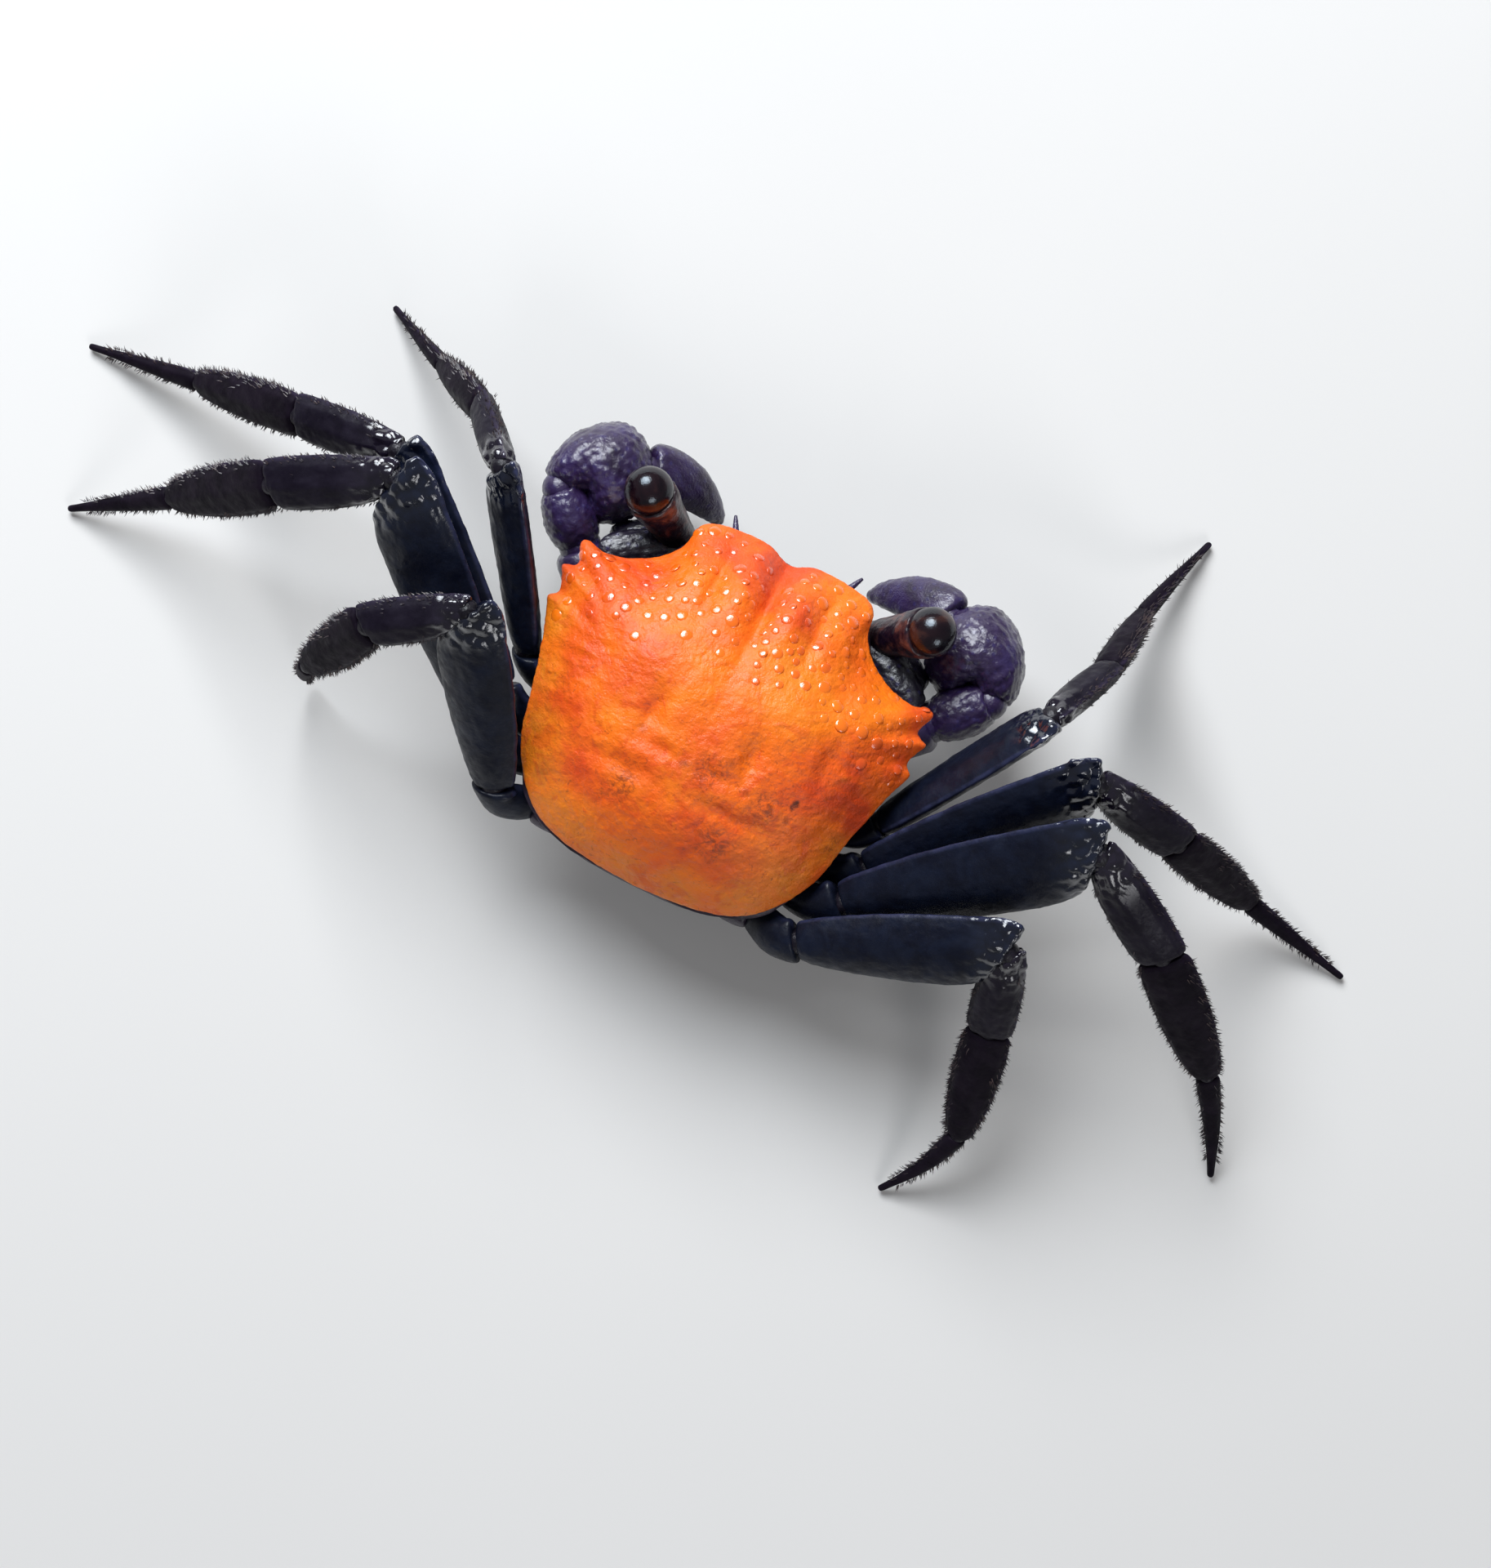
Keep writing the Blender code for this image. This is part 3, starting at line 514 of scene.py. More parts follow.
shell = {
    "blend": 55, "blunt": 3,                 # outline points averaged on each side: without teeth, with them
    "middle": -4.6, "top": 11.6, "rim": 8.7, "frontDrop": 0.75, "rearDrop": 0.95, "dome": 2.7,
    "outline": [(0.0, 3.35), (1.1, 3.75), (2.4, 3.75), (3.5, 3.6), (4.15, 3.2), (4.4, 2.1), (5.1, 1.2), (6.2, 0.55),
        (7.3, 0.28), (8.12, 0.45), (8.42, 0.2), (8.1, -0.66), (8.75, -0.95), (8.3, -2.0), (8.7, -2.4), (8.35, -3.3),
        (7.95, -4.6), (7.5, -6.4), (7.1, -8.2), (6.3, -9.7), (5.1, -10.95), (3.5, -11.6), (1.7, -11.85),
        (0.0, -11.95)],
    "sharp": (3, 12, 14),                    # outline points that stay pointed: front corner and two side teeth
    "grid": 250,
    "frontFall": (0.5, 2.8), "rearFall": (-3.5, 7.5),            # where the rim starts to sink, and over how far
    "spanSteps": 40,                         # fine points between two outline points
    "toothFrom": (0.72, 0.99),               # share of the way to the rim where the teeth grow in
    "calmFrom": (0.93, 1.0), "calmShare": 0.8,
    "lip": [(0.998, 0.1), (0.992, 0.14), (0.988, 0.16), (0.975, 0.2), (0.98, 0.14), (0.86, 0.16), (0.8, 0.02)],
    "relief": [(0.5, (1.3, 1.5), (0.75, 1.6)), (0.3, (3.35, 1.0), (0.9, 1.1)),         # lobes behind the front
               (-0.22, (2.4, 1.4), (0.3, 1.5)), (-0.42, (0.0, 1.3), (0.42, 2.4)),      # grooves, middle furrow
               (0.2, (5.6, -1.6), (1.1, 1.2)), (-0.12, (4.6, -0.8), (0.6, 1.4)),
               (0.22, (3.0, -2.4), (1.5, 1.5)), (0.12, (1.0, -3.4), (0.9, 1.4)),
               (-0.3, (2.3, -5.0), (0.45, 1.1)), (-0.16, (1.3, -6.2), (0.9, 0.35)),    # marks beside the middle
               (-0.2, (2.6, -7.5), (1.9, 0.42)), (-0.16, (5.3, -3.4), (0.5, 1.6)),     # groove across the rear
               (0.22, (5.6, -5.6), (1.3, 2.3)), (0.14, (0.0, -9.2), (1.6, 1.0))],
    "ribs": {"count": 9, "amount": 0.05, "first": (6.9, -3.1), "pitch": 0.72, "size": (0.8, 0.16), "lean": 0.35},
}
grains = {"seed": 7, "tries": 7000, "out": 8.2, "forward": (-6.0, 3.4), "radii": (0.17, 0.2, 0.24, 0.28),
          "thinning": (-2.2, 0.8), "gap": 1.3, "bareMiddle": 0.5, "ridgeOut": (0.22, 0.95),
          "ridgeForward": (-0.8, 2.6), "ridgeGap": 1.02, "rayStart": 20.0, "steepest": 0.35}
domes = {"sides": 12, "rings": [(1.2, -0.2), (1.08, -0.02), (0.9, 0.08), (0.66, 0.15), (0.35, 0.2)], "top": 0.215}


def bump(out, forward, place, size):
    return math.exp(-((out - place[0]) / size[0]) ** 2 - ((forward - place[1]) / size[1]) ** 2)


def shellRelief(out, forward):
    across = abs(out)
    height = 0.0
    for amount, place, size in shell["relief"]:
        height += amount * bump(across, forward, place, size)
    ribs = shell["ribs"]                                 # slanting ribs near the side edges
    slanted = across + ribs["lean"] * (forward + 5.0)
    for index in range(ribs["count"]):
        place = (ribs["first"][0], ribs["first"][1] - ribs["pitch"] * index)
        height += ribs["amount"] * bump(slanted, forward, place, ribs["size"])
    return height


def grainSeats():
    # seats of the round grains of the back: (out, forward, radius), thick on the front third
    rng = random.Random(grains["seed"])
    seats = []
    for attempt in range(grains["tries"]):
        out = rng.uniform(-grains["out"], grains["out"])
        forward = rng.uniform(*grains["forward"])
        chance = smoothStep(*grains["thinning"], forward + 0.35 * max(abs(out) - 3.0, 0.0)) ** 1.5
        # a close row lies beside the middle furrow
        ridge = (grains["ridgeOut"][0] < out < grains["ridgeOut"][1]
                 and grains["ridgeForward"][0] < forward < grains["ridgeForward"][1])
        if not ridge and (abs(out) < grains["bareMiddle"] or rng.random() > chance):
            continue
        radius = rng.choice(grains["radii"])
        gap = grains["ridgeGap"] if ridge else grains["gap"]
        if any(math.hypot(out - seat[0], forward - seat[1]) < gap * (radius + seat[2]) for seat in seats):
            continue
        seats.append((out, forward, radius))
    return seats


def domesPiece(name, seats):
    # low domes set square on a surface, joined as one mesh; seats are (point, normal, radius in mm)
    corners = []
    faces = []
    for point, normal, radius in seats:
        across = normal.orthogonal().normalized()
        rings = [(point + normal * (radius * lift * mm), radius * size * mm) for size, lift in domes["rings"]]
        addSpike(corners, faces, rings, point + normal * (radius * domes["top"] * mm), across, normal.cross(across),
                 domes["sides"])
    piece = meshPiece(name, corners, faces)
    piece.data.shade_smooth()
    return piece


def buildGrains(shellPiece):
    surface = mathutils.bvhtree.BVHTree.FromObject(shellPiece, bpy.context.evaluated_depsgraph_get())
    seats = []
    for out, forward, radius in grainSeats():
        point, normal, index, gap = surface.ray_cast(spot((out, forward, grains["rayStart"]), -1), -upward)
        if point is not None and normal.z > grains["steepest"]:
            seats.append((point, normal, radius))
    keepPiece(domesPiece("carapaceGrains", seats), "grain", "shell")


def rimHeight(forward):
    frontStart, frontLength = shell["frontFall"]
    rearStart, rearLength = shell["rearFall"]
    front = max(0.0, min(1.0, (forward - frontStart) / frontLength))
    rear = max(0.0, min(1.0, (rearStart - forward) / rearLength))
    return shell["rim"] - shell["frontDrop"] * front ** 1.3 - shell["rearDrop"] * rear


def mirrored(point):
    return mathutils.Vector((-point.x, point.y, 0))


def fineOutline():
    # the whole outline as evenly spaced points, smooth between its corners, from the front middle rightwards
    points = [mathutils.Vector((*point, 0)) for point in shell["outline"]]
    steps = shell["spanSteps"]
    ends = [mirrored(points[1]), *points, mirrored(points[-2])]
    fine = []
    for index, (first, second) in enumerate(zip(points, points[1:])):
        before = first if index in shell["sharp"] else ends[index]
        after = second if index + 1 in shell["sharp"] else ends[index + 3]
        fine += [between(before, first, second, after, part / steps) for part in range(steps)]
    fine.append(points[-1])
    whole = fine + [mirrored(point) for point in reversed(fine[1:-1])]
    whole.append(whole[0])
    lengths = numpy.cumsum([0] + [(after - before).length for before, after in zip(whole, whole[1:])])
    count = shell["grid"] * 4
    stops = numpy.linspace(0, lengths[-1], count, endpoint=False)
    across = numpy.interp(stops, lengths, [point.x for point in whole])
    along = numpy.interp(stops, lengths, [point.y for point in whole])
    return list(zip(across, along))


def smoothedRound(outline, reach):
    # each point becomes the mean of its neighbours on the closed outline
    ends = numpy.array(outline)
    kernel = numpy.ones(2 * reach + 1) / (2 * reach + 1)
    rows = [numpy.convolve(numpy.concatenate([ends[-reach:, axis], ends[:, axis], ends[:reach, axis]]), kernel, "valid")
            for axis in (0, 1)]
    return list(zip(*rows))


def squarePlace(u, v, count, tiny=1e-6):
    # where a grid corner lies round its own square ring: scale of the ring and outline index
    scale = max(abs(u), abs(v))
    if scale < tiny:
        return 0.0, 0
    x, y = u / scale, v / scale
    if y >= 1 - tiny:
        turn = x if x >= 0 else 8 + x
    elif x >= 1 - tiny:
        turn = 2 - y
    elif y <= -1 + tiny:
        turn = 4 - x
    else:
        turn = 6 + y
    return scale, turn / 8 * count


def shellPlace(corner, outline, calm):
    # where a corner of the square grid lies on the domed shell
    middle = shell["middle"]
    scale, place = squarePlace(corner.x, corner.y, len(outline))
    index = int(place) % len(outline)
    part = place - int(place)
    first, second = outline[index], outline[(index + 1) % len(outline)]
    toothed = smoothStep(*shell["toothFrom"], scale)
    edge = [calm[index][axis] * (1 - toothed) + (first[axis] + (second[axis] - first[axis]) * part) * toothed
            for axis in (0, 1)]
    out = edge[0] * scale
    forward = middle + (edge[1] - middle) * scale
    rim = rimHeight(edge[1])
    fade = 1 - shell["calmShare"] * smoothStep(*shell["calmFrom"], scale)
    height = rim + (shell["top"] - rim) * (1 - scale ** shell["dome"]) + fade * shellRelief(out, forward)
    return spot((out, forward, height), -1)


def buildShell():
    # a square grid takes the outline's shape ring by ring, then its rim is extruded down and under
    outline = smoothedRound(fineOutline(), shell["blunt"])
    calm = smoothedRound(outline, shell["blend"])                # the outline without its teeth
    clearSelection()
    bpy.ops.mesh.primitive_grid_add(x_subdivisions=shell["grid"], y_subdivisions=shell["grid"], size=2,
                                    location=(0, 0, 0))
    piece = bpy.context.object
    piece.name = "carapaceShell"
    for corner in piece.data.vertices:
        corner.co = shellPlace(corner.co, outline, calm)
    bpy.ops.object.mode_set(mode="EDIT")
    bpy.ops.mesh.select_all(action="SELECT")
    bpy.ops.mesh.region_to_loop()
    for scale, drop in shell["lip"]:
        bpy.ops.mesh.extrude_region_move(TRANSFORM_OT_translate={"value": (0, 0, -drop * mm)})
        bpy.ops.transform.resize(value=(scale, scale, 1), center_override=spot((0, shell["middle"], 0)))
    bpy.ops.mesh.edge_face_add()
    faceOutward()
    shadeSmooth(piece)
    ribs = piece.vertex_groups.new(name="fine")
    for corner in piece.data.vertices:
        ribs.add([corner.index], smoothStep(-0.1, 0.4, corner.normal.z), "REPLACE")
    roughen(piece, "CLOUDS", 0.7, 0.1, "fine")
    roughen(piece, "CLOUDS", 0.22, 0.04, "fine")
    keepPiece(piece, "shell", "shell", "carapace")
    buildGrains(piece)


buildShell()
print("shell made")

# Underside: the chest plate with its hips, the cheeks and jowls, and the tail flap

chest = {
    "outline": [(0.0, 2.3), (1.6, 2.3), (3.2, 1.9), (4.2, 0.6), (4.3, -1.2), (4.7, -3.0), (5.5, -4.8), (5.9, -6.6),
        (5.7, -8.4), (4.9, -9.9), (3.2, -10.7), (1.6, -10.9), (0.0, -10.9)],
    "levels": [(3.3, 0.5), (3.34, 0.62), (3.5, 0.76), (3.9, 0.88), (4.6, 0.96), (5.3, 0.99), (6.0, 1.0), (6.6, 1.03),
        (7.05, 1.1), (7.3, 1.18), (7.45, 1.15)],
    "middle": -4.6,
    "cheek": [(3.0, 1.0, 5.6), (4.3, 1.7, 5.9), (5.4, 1.5, 6.25), (6.5, 0.95, 6.55), (7.7, 0.2, 6.8)],
    "jowl": [(1.9, 0.8, 4.7), (3.3, 1.6, 4.8), (4.8, 2.1, 5.0), (6.3, 1.9, 5.2), (7.75, 1.3, 5.35)],
    "jowlSizes": [(0.0, 0.4, 0.6), (0.15, 0.7, 1.1), (0.4, 0.85, 1.35), (0.65, 0.85, 1.25), (0.85, 0.7, 1.0),
        (1.0, 0.3, 0.4)],
    "plates": [((0.5, -0.1, 3.34), (3.4, -0.7, 3.55), 0.95), ((0.9, -2.3, 3.34), (4.3, -3.0, 3.9), 0.85),
        ((2.6, -4.9, 3.38), (4.9, -5.3, 4.1), 0.8), ((2.8, -6.7, 3.4), (5.3, -7.0, 4.2), 0.76),
        ((2.8, -8.3, 3.4), (5.1, -8.7, 4.2), 0.7), ((2.4, -9.7, 3.5), (4.4, -10.1, 4.3), 0.62)],
    "plateSizes": [(0.0, 0.5, 0.12), (0.08, 0.85, 0.24), (0.3, 1.0, 0.3), (0.7, 1.0, 0.32), (0.92, 0.85, 0.26),
        (1.0, 0.5, 0.12)],
    "cheekSizes": [(0.0, 0.8, 0.6), (0.2, 1.0, 0.8), (0.45, 1.05, 0.8), (0.65, 1.0, 0.7), (0.82, 0.9, 0.6),
        (0.94, 0.75, 0.5), (1.0, 0.4, 0.3)],
    "flap": [(-11.4, 6.45, 2.3), (-11.75, 5.6, 2.9), (-11.6, 4.4, 3.3), (-10.6, 3.2, 3.6), (-9.1, 2.72, 3.9),
        (-7.6, 2.7, 4.0), (-6.1, 2.7, 3.9), (-4.7, 2.7, 3.5), (-3.4, 2.7, 2.6), (-2.4, 2.7, 1.3), (-1.8, 2.72, 0.7)],
    "flapSteps": 84, "flapRing": 12, "flapSides": 28, "flapThick": 0.3,      # seven rings of twelve steps
    "legHip": 0.8, "clawHip": 1.0,
    "hipSizes": [(0.0, 1.0, 1.0), (0.3, 1.1, 1.1), (0.6, 1.2, 1.15), (0.84, 1.12, 1.08), (0.94, 1.05, 1.0),
        (1.0, 0.75, 0.7)],
}
claws = {
    "armRoot": (5.1, -3.1, 4.7), "armEnd": (8.55, 0.15, 5.7), "wristEnd": (10.45, 2.0, 6.35),
    "palm": [(10.45, 2.05, 6.35), (10.25, 3.1, 6.1), (9.4, 3.5, 5.75), (8.45, 3.72, 5.3), (7.6, 4.0, 4.85)],
    "palmSizes": [(0.0, 0.5, 0.6), (0.03, 0.8, 0.95), (0.12, 1.1, 1.35), (0.28, 1.55, 1.85), (0.45, 2.1, 2.2),
        (0.62, 2.36, 2.3), (0.76, 2.24, 2.15), (0.87, 1.96, 1.95), (0.94, 1.62, 1.68), (0.98, 1.22, 1.3),
        (1.0, 0.8, 0.85)],
    "fingers": [(7.8, 4.3, 4.85), (6.85, 4.68, 4.3), (5.65, 4.7, 3.65), (4.65, 4.46, 3.05), (3.9, 4.1, 2.5)],
    "movableSizes": [(0.0, 0.9, 0.6), (0.02, 1.24, 0.84), (0.15, 1.34, 0.88), (0.35, 1.2, 0.78), (0.55, 0.95, 0.62),
        (0.75, 0.66, 0.47), (0.9, 0.4, 0.31), (0.97, 0.27, 0.22), (1.0, 0.13, 0.13)],
    "fingerSizes": [(0.0, 0.75, 0.5), (0.02, 1.02, 0.7), (0.15, 1.14, 0.76), (0.35, 1.04, 0.7), (0.55, 0.84, 0.58),
        (0.75, 0.6, 0.45), (0.9, 0.38, 0.3), (0.97, 0.26, 0.22), (1.0, 0.13, 0.13)],
    "spread": [1.08, 1.02, 0.9, 0.68, 0.44],
    "armSizes": [(0.0, 0.6, 0.6), (0.03, 0.8, 0.8), (0.2, 1.0, 1.05), (0.5, 1.2, 1.2), (0.8, 1.36, 1.25),
        (0.94, 1.28, 1.15), (0.98, 1.08, 1.0), (1.0, 0.7, 0.7)],
    "wristSizes": [(0.0, 0.6, 0.6), (0.04, 0.88, 0.9), (0.22, 1.16, 1.2), (0.5, 1.26, 1.28), (0.74, 1.14, 1.2),
        (0.9, 0.98, 1.08), (0.97, 0.86, 0.96), (1.0, 0.6, 0.7)],
    "teeth": {"count": 8, "first": 0.16, "pitch": 0.1, "size": ((0, 0.35, 0.6, 1), (0.16, 0.24, 0.2, 0.1)),
              "reach": ((0, 0.35, 0.75, 1), (0.62, 0.58, 0.38, 0.16))},
}
legs = {
    "first": {"coxa": (6.2, -6.0, 5.5), "root": (8.2, -5.4, 6.3), "lengths": (10.0, 4.6, 6.0, 5.2),
              "widths": (3.0, 2.0, 1.8)},
    "second": {"coxa": (6.5, -7.8, 5.6), "root": (8.3, -7.4, 6.45), "lengths": (12.0, 5.4, 7.4, 6.0),
               "widths": (3.7, 2.3, 2.2)},
    "third": {"coxa": (6.2, -9.3, 5.8), "root": (7.9, -9.15, 6.9), "lengths": (12.9, 6.0, 8.2, 6.2),
              "widths": (4.1, 2.5, 2.5)},
    "fourth": {"coxa": (5.3, -10.8, 5.8), "root": (6.9, -11.25, 6.75), "lengths": (10.3, 4.8, 6.6, 5.2),
               "widths": (3.5, 2.2, 2.2)},
}
poses = {
    "left": {"first": ((32, 36), (48, -48), (68, -58), 66), "second": ((49, 16), (95, -26), (95, -42), 97),
             "third": ((46, 25), (117, -24), (117, -50), 119), "fourth": ((32, 41), (123, -24), (142, -58), 150)},
    "right": {"first": ((31, 25), (25, -42), (12, -56), 18), "second": ((43, 22), (98, -34), (99, -50), 101),
              "third": ((52, 25), (120, -28), (128, -42), 146), "fourth": ((66, 22), (163, -42), (166, -40), 205)},
}
legShape = {"thick": 1.45, "lean": 0.3, "toeRadius": 0.24}


def legJoints(sideName, legName):
    side = sides[sideName]
    leg = legs[legName]
    merus, carpus, propodus, toeTurn = poses[sideName][legName]
    points = [spot(leg["coxa"], side), spot(leg["root"], side)]
    for length, angles in zip(leg["lengths"], (merus, carpus, propodus)):
        points.append(points[-1] + heading(*angles, side) * (length * mm))
    reach = leg["lengths"][3]
    drop = points[-1].z / mm - legShape["toeRadius"]
    pitch = -math.degrees(math.asin(min(drop / reach, 0.99)))
    points.append(points[-1] + heading(toeTurn, pitch, side) * (reach * mm))
    normal = (points[2] - points[1]).cross(points[4] - points[2]).normalized()
    normal.z += math.copysign(legShape["lean"], normal.z)
    return points, normal.normalized()


def hipPiece(name, end, radius):
    inner = mathutils.Vector((end.x * 0.5 + bodyShift["across"] * 0.5 * mm,
                              end.y * 0.92 - bodyShift["along"] * 0.08 * mm + 0.35 * mm, end.z * 0.93))
    line = [inner, inner.lerp(end, 0.4), inner.lerp(end, 0.75), end]
    return limbPiece(name, line, scaled(chest["hipSizes"], radius, radius), 2, count=14)


def buildChest():
    half = [mathutils.Vector((*point, 0)) for point in chest["outline"]]
    steps = 3 * (len(half) - 1)
    fine = [curveThrough(half, step / steps) for step in range(steps + 1)]
    outline = fine + [mirrored(point) for point in reversed(fine[1:-1])]
    middle = chest["middle"]
    rings = [[spot((point.x * scale, middle + (point.y - middle) * scale, height)) for point in outline]
             for height, scale in chest["levels"]]
    pieces = [growTube("chestPlate", rings)]
    smoothPiece(pieces[0], 2)
    cheeks = []
    for sideName, side in sides.items():
        for legName, leg in legs.items():
            pieces.append(hipPiece(f"hip_{sideName}_{legName}", spot(leg["coxa"], side), chest["legHip"]))
        pieces.append(hipPiece(f"hip_{sideName}_claw", spot(claws["armRoot"], side), chest["clawHip"]))
        for start, end, wide in chest["plates"]:
            pieces.append(limbPiece(f"plate_{sideName}", straight(*placed((start, end), side)),
                                    scaled(chest["plateSizes"], wide, 1), 2, power=2.6))
        for part in ("cheek", "jowl"):
            cheeks.append(limbPiece(f"{part}_{sideName}", placed(chest[part], side), chest[f"{part}Sizes"], 3))
    whole = joinPieces("chestAndHips", pieces)
    roughen(whole, "CLOUDS", 0.6, 0.08)
    keepPiece(whole, "belly", "belly", "thorax")
    cheeks = joinPieces("cheeks", cheeks)
    roughen(cheeks, "VORONOI", 0.32, -0.1)
    # the cheeks and jowls take the darkened purple, which is partly painted shade
    keepPiece(cheeks, "cheek", "belly")


def buildFlap():
    line = [spot((0.0, forward, height)) for forward, height, wide in chest["flap"]]
    widths = [wide for forward, height, wide in chest["flap"]]
    across = mathutils.Vector((1, 0, 0))
    steps, ringSteps, count = chest["flapSteps"], chest["flapRing"], chest["flapSides"]
    rings = []
    grooves = []
    for step in range(steps + 1):
        share = step / steps
        point = curveThrough(line, share)
        outward = across.cross(tangentAt(line, share)).normalized()
        wide = numpy.interp(share * (len(widths) - 1), range(len(widths)), widths)
        ridge = (step % ringSteps) / (ringSteps - 1)         # each ring overlaps the next
        thick = chest["flapThick"] * (0.5 + 0.62 * ridge ** 0.5)
        grooves.append(float(ridge == 0))
        if step in (0, steps):
            thick *= 0.5
            wide *= 0.85
        ring = []
        for column in range(count):
            angle = 2 * math.pi * column / count
            x = squared(math.cos(angle), 0.7) * wide
            y = squared(math.sin(angle), 0.8) * thick
            ring.append(point + across * (x * mm) + outward * (y * mm))
        rings.append(ring)
    piece = growTube("tailFlap", rings, grooves)
    smoothPiece(piece, 1)
    roughen(piece, "CLOUDS", 0.7, 0.05)
    keepPiece(piece, "belly", "belly", "abdomen")


buildChest()
buildFlap()
print("underside made")

# Eyes, stalks, feelers and mouthparts

face = {
    "stalkRoot": (4.0, 1.9, 4.6), "eye": (6.75, 3.45, 9.1), "eyeRadius": 1.12, "stalkRadius": 0.9,
    "feeler": [(2.3, 1.5, 6.2), (2.4, 2.6, 6.2), (2.6, 3.3, 6.1), (2.85, 3.9, 6.0), (3.1, 4.4, 5.9)],
    "smallFeeler": [(1.1, 1.6, 6.42), (1.15, 2.6, 6.42), (1.25, 3.3, 6.25)],
    "jaw": [(1.15, 2.6, 5.75), (1.25, 2.85, 5.4), (1.25, 2.95, 4.9), (1.15, 2.8, 4.2), (1.05, 2.3, 3.6)],
    "eyeAngles": (-50, -36, -20, -4, 12, 28, 44, 60, 74, 85), "eyeSides": 24,
    "eyeBack": 0.92, "eyeSquash": 0.97, "stalkSunk": 0.3,
    "stalkSizes": [(0.0, 0.6, 0.6), (0.08, 0.8, 0.8), (0.35, 0.92, 0.92), (0.6, 0.99, 0.99), (0.78, 1.12, 1.12),
        (0.88, 1.24, 1.24), (0.95, 1.27, 1.27), (0.985, 1.23, 1.23), (1.0, 1.12, 1.12)],
    "feelerSteps": 24, "beadWide": (0.9, 1.08), "beadThick": (0.88, 1.05),
    "smallFeelerSizes": [(0.0, 0.4, 0.28), (0.1, 0.5, 0.32), (0.35, 0.56, 0.34), (0.5, 0.42, 0.3), (0.58, 0.46, 0.32),
        (0.8, 0.34, 0.26), (0.95, 0.24, 0.2), (1.0, 0.15, 0.14)],
    "jawSizes": [(0.0, 0.5, 0.24), (0.04, 0.78, 0.32), (0.2, 1.04, 0.38), (0.38, 1.08, 0.4), (0.42, 1.0, 0.26),
        (0.47, 1.04, 0.38), (0.75, 0.98, 0.4), (0.92, 0.76, 0.33), (1.0, 0.45, 0.24)],
}


def buildEye(sideName, side):
    root, centre = placed((face["stalkRoot"], face["eye"]), side)
    axis = (centre - root).normalized()
    radius, size, count = face["eyeRadius"], face["stalkRadius"], face["eyeSides"]
    thick = (upward - axis * axis.z).normalized()
    wide = axis.cross(thick)
    rings = []
    for angle in face["eyeAngles"]:
        lift = math.sin(math.radians(angle)) * radius * (1.0 if angle > 0 else face["eyeBack"])
        reach = math.cos(math.radians(angle)) * radius
        rings.append([centre + axis * (lift * mm)
                      + (wide * math.cos(turn) + thick * math.sin(turn) * face["eyeSquash"]) * (reach * mm)
                      for turn in (2 * math.pi * column / count for column in range(count))])
    piece = growTube(f"cornea_{sideName}", rings)
    smoothPiece(piece, 2)
    keepPiece(piece, "eye", "eye", f"eye_{sideName}")
    end = centre - axis * (radius * face["stalkSunk"] * mm)
    stem = limbPiece(f"stalk_{sideName}", straight(root, end), scaled(face["stalkSizes"], size, size), 2, count=20)
    roughen(stem, "CLOUDS", 0.4, 0.12)
    keepPiece(stem, "stalk", "stalk", f"eyestalk_{sideName}")


def buildFace(sideName, side):
    stations = []
    for step in range(face["feelerSteps"] + 1):
        share = step / face["feelerSteps"]
        size = 0.3 * (1 - share) ** 0.9 + 0.06
        stations.append((share, size * face["beadWide"][step % 2], size * face["beadThick"][step % 2]))
    piece = limbPiece(f"feeler_{sideName}", placed(face["feeler"], side), stations, 1, count=12)
    keepPiece(piece, "claw", "claw", f"antenna_{sideName}")
    small = placed(face["smallFeeler"], side)
    piece = limbPiece(f"smallFeeler_{sideName}", small, face["smallFeelerSizes"], 2, count=12)
    keepPiece(piece, "claw", "claw", f"antennule_{sideName}")
    piece = limbPiece(f"mouthPlate_{sideName}", placed(face["jaw"], side), face["jawSizes"], 2,
                      mathutils.Vector((0, -1, 0)), power=2.6)
    keepPiece(piece, "belly", "belly", f"maxilliped_{sideName}")


for sideName, side in sides.items():
    buildEye(sideName, side)
    buildFace(sideName, side)
print("face made")

# Claws

def fingerLine(middle, way):
    line = []
    last = len(middle) - 1
    for index, point in enumerate(middle):
        tangent = (middle[min(index + 1, last)] - middle[max(index - 1, 0)]).normalized()
        upright = (upward - tangent * tangent.z).normalized()
        line.append(point + upright * (claws["spread"][index] * way * mm))
    return line


def clawTeeth(name, line, way, seed):
    # blunt teeth along the biting edge, largest in the middle
    rng = random.Random(seed)
    teeth = claws["teeth"]
    balls = []
    for index in range(teeth["count"]):
        share = teeth["first"] + teeth["pitch"] * index
        point, tangent, wide, thick = limbFrame(line, share, upward)
        size = numpy.interp(share, *teeth["size"]) * rng.uniform(0.75, 1.15)
        reach = numpy.interp(share, *teeth["reach"])
        balls.append(ballAt(name, point + thick * (way * reach * mm), size, 12, 8))
    return joinPieces(name, balls)


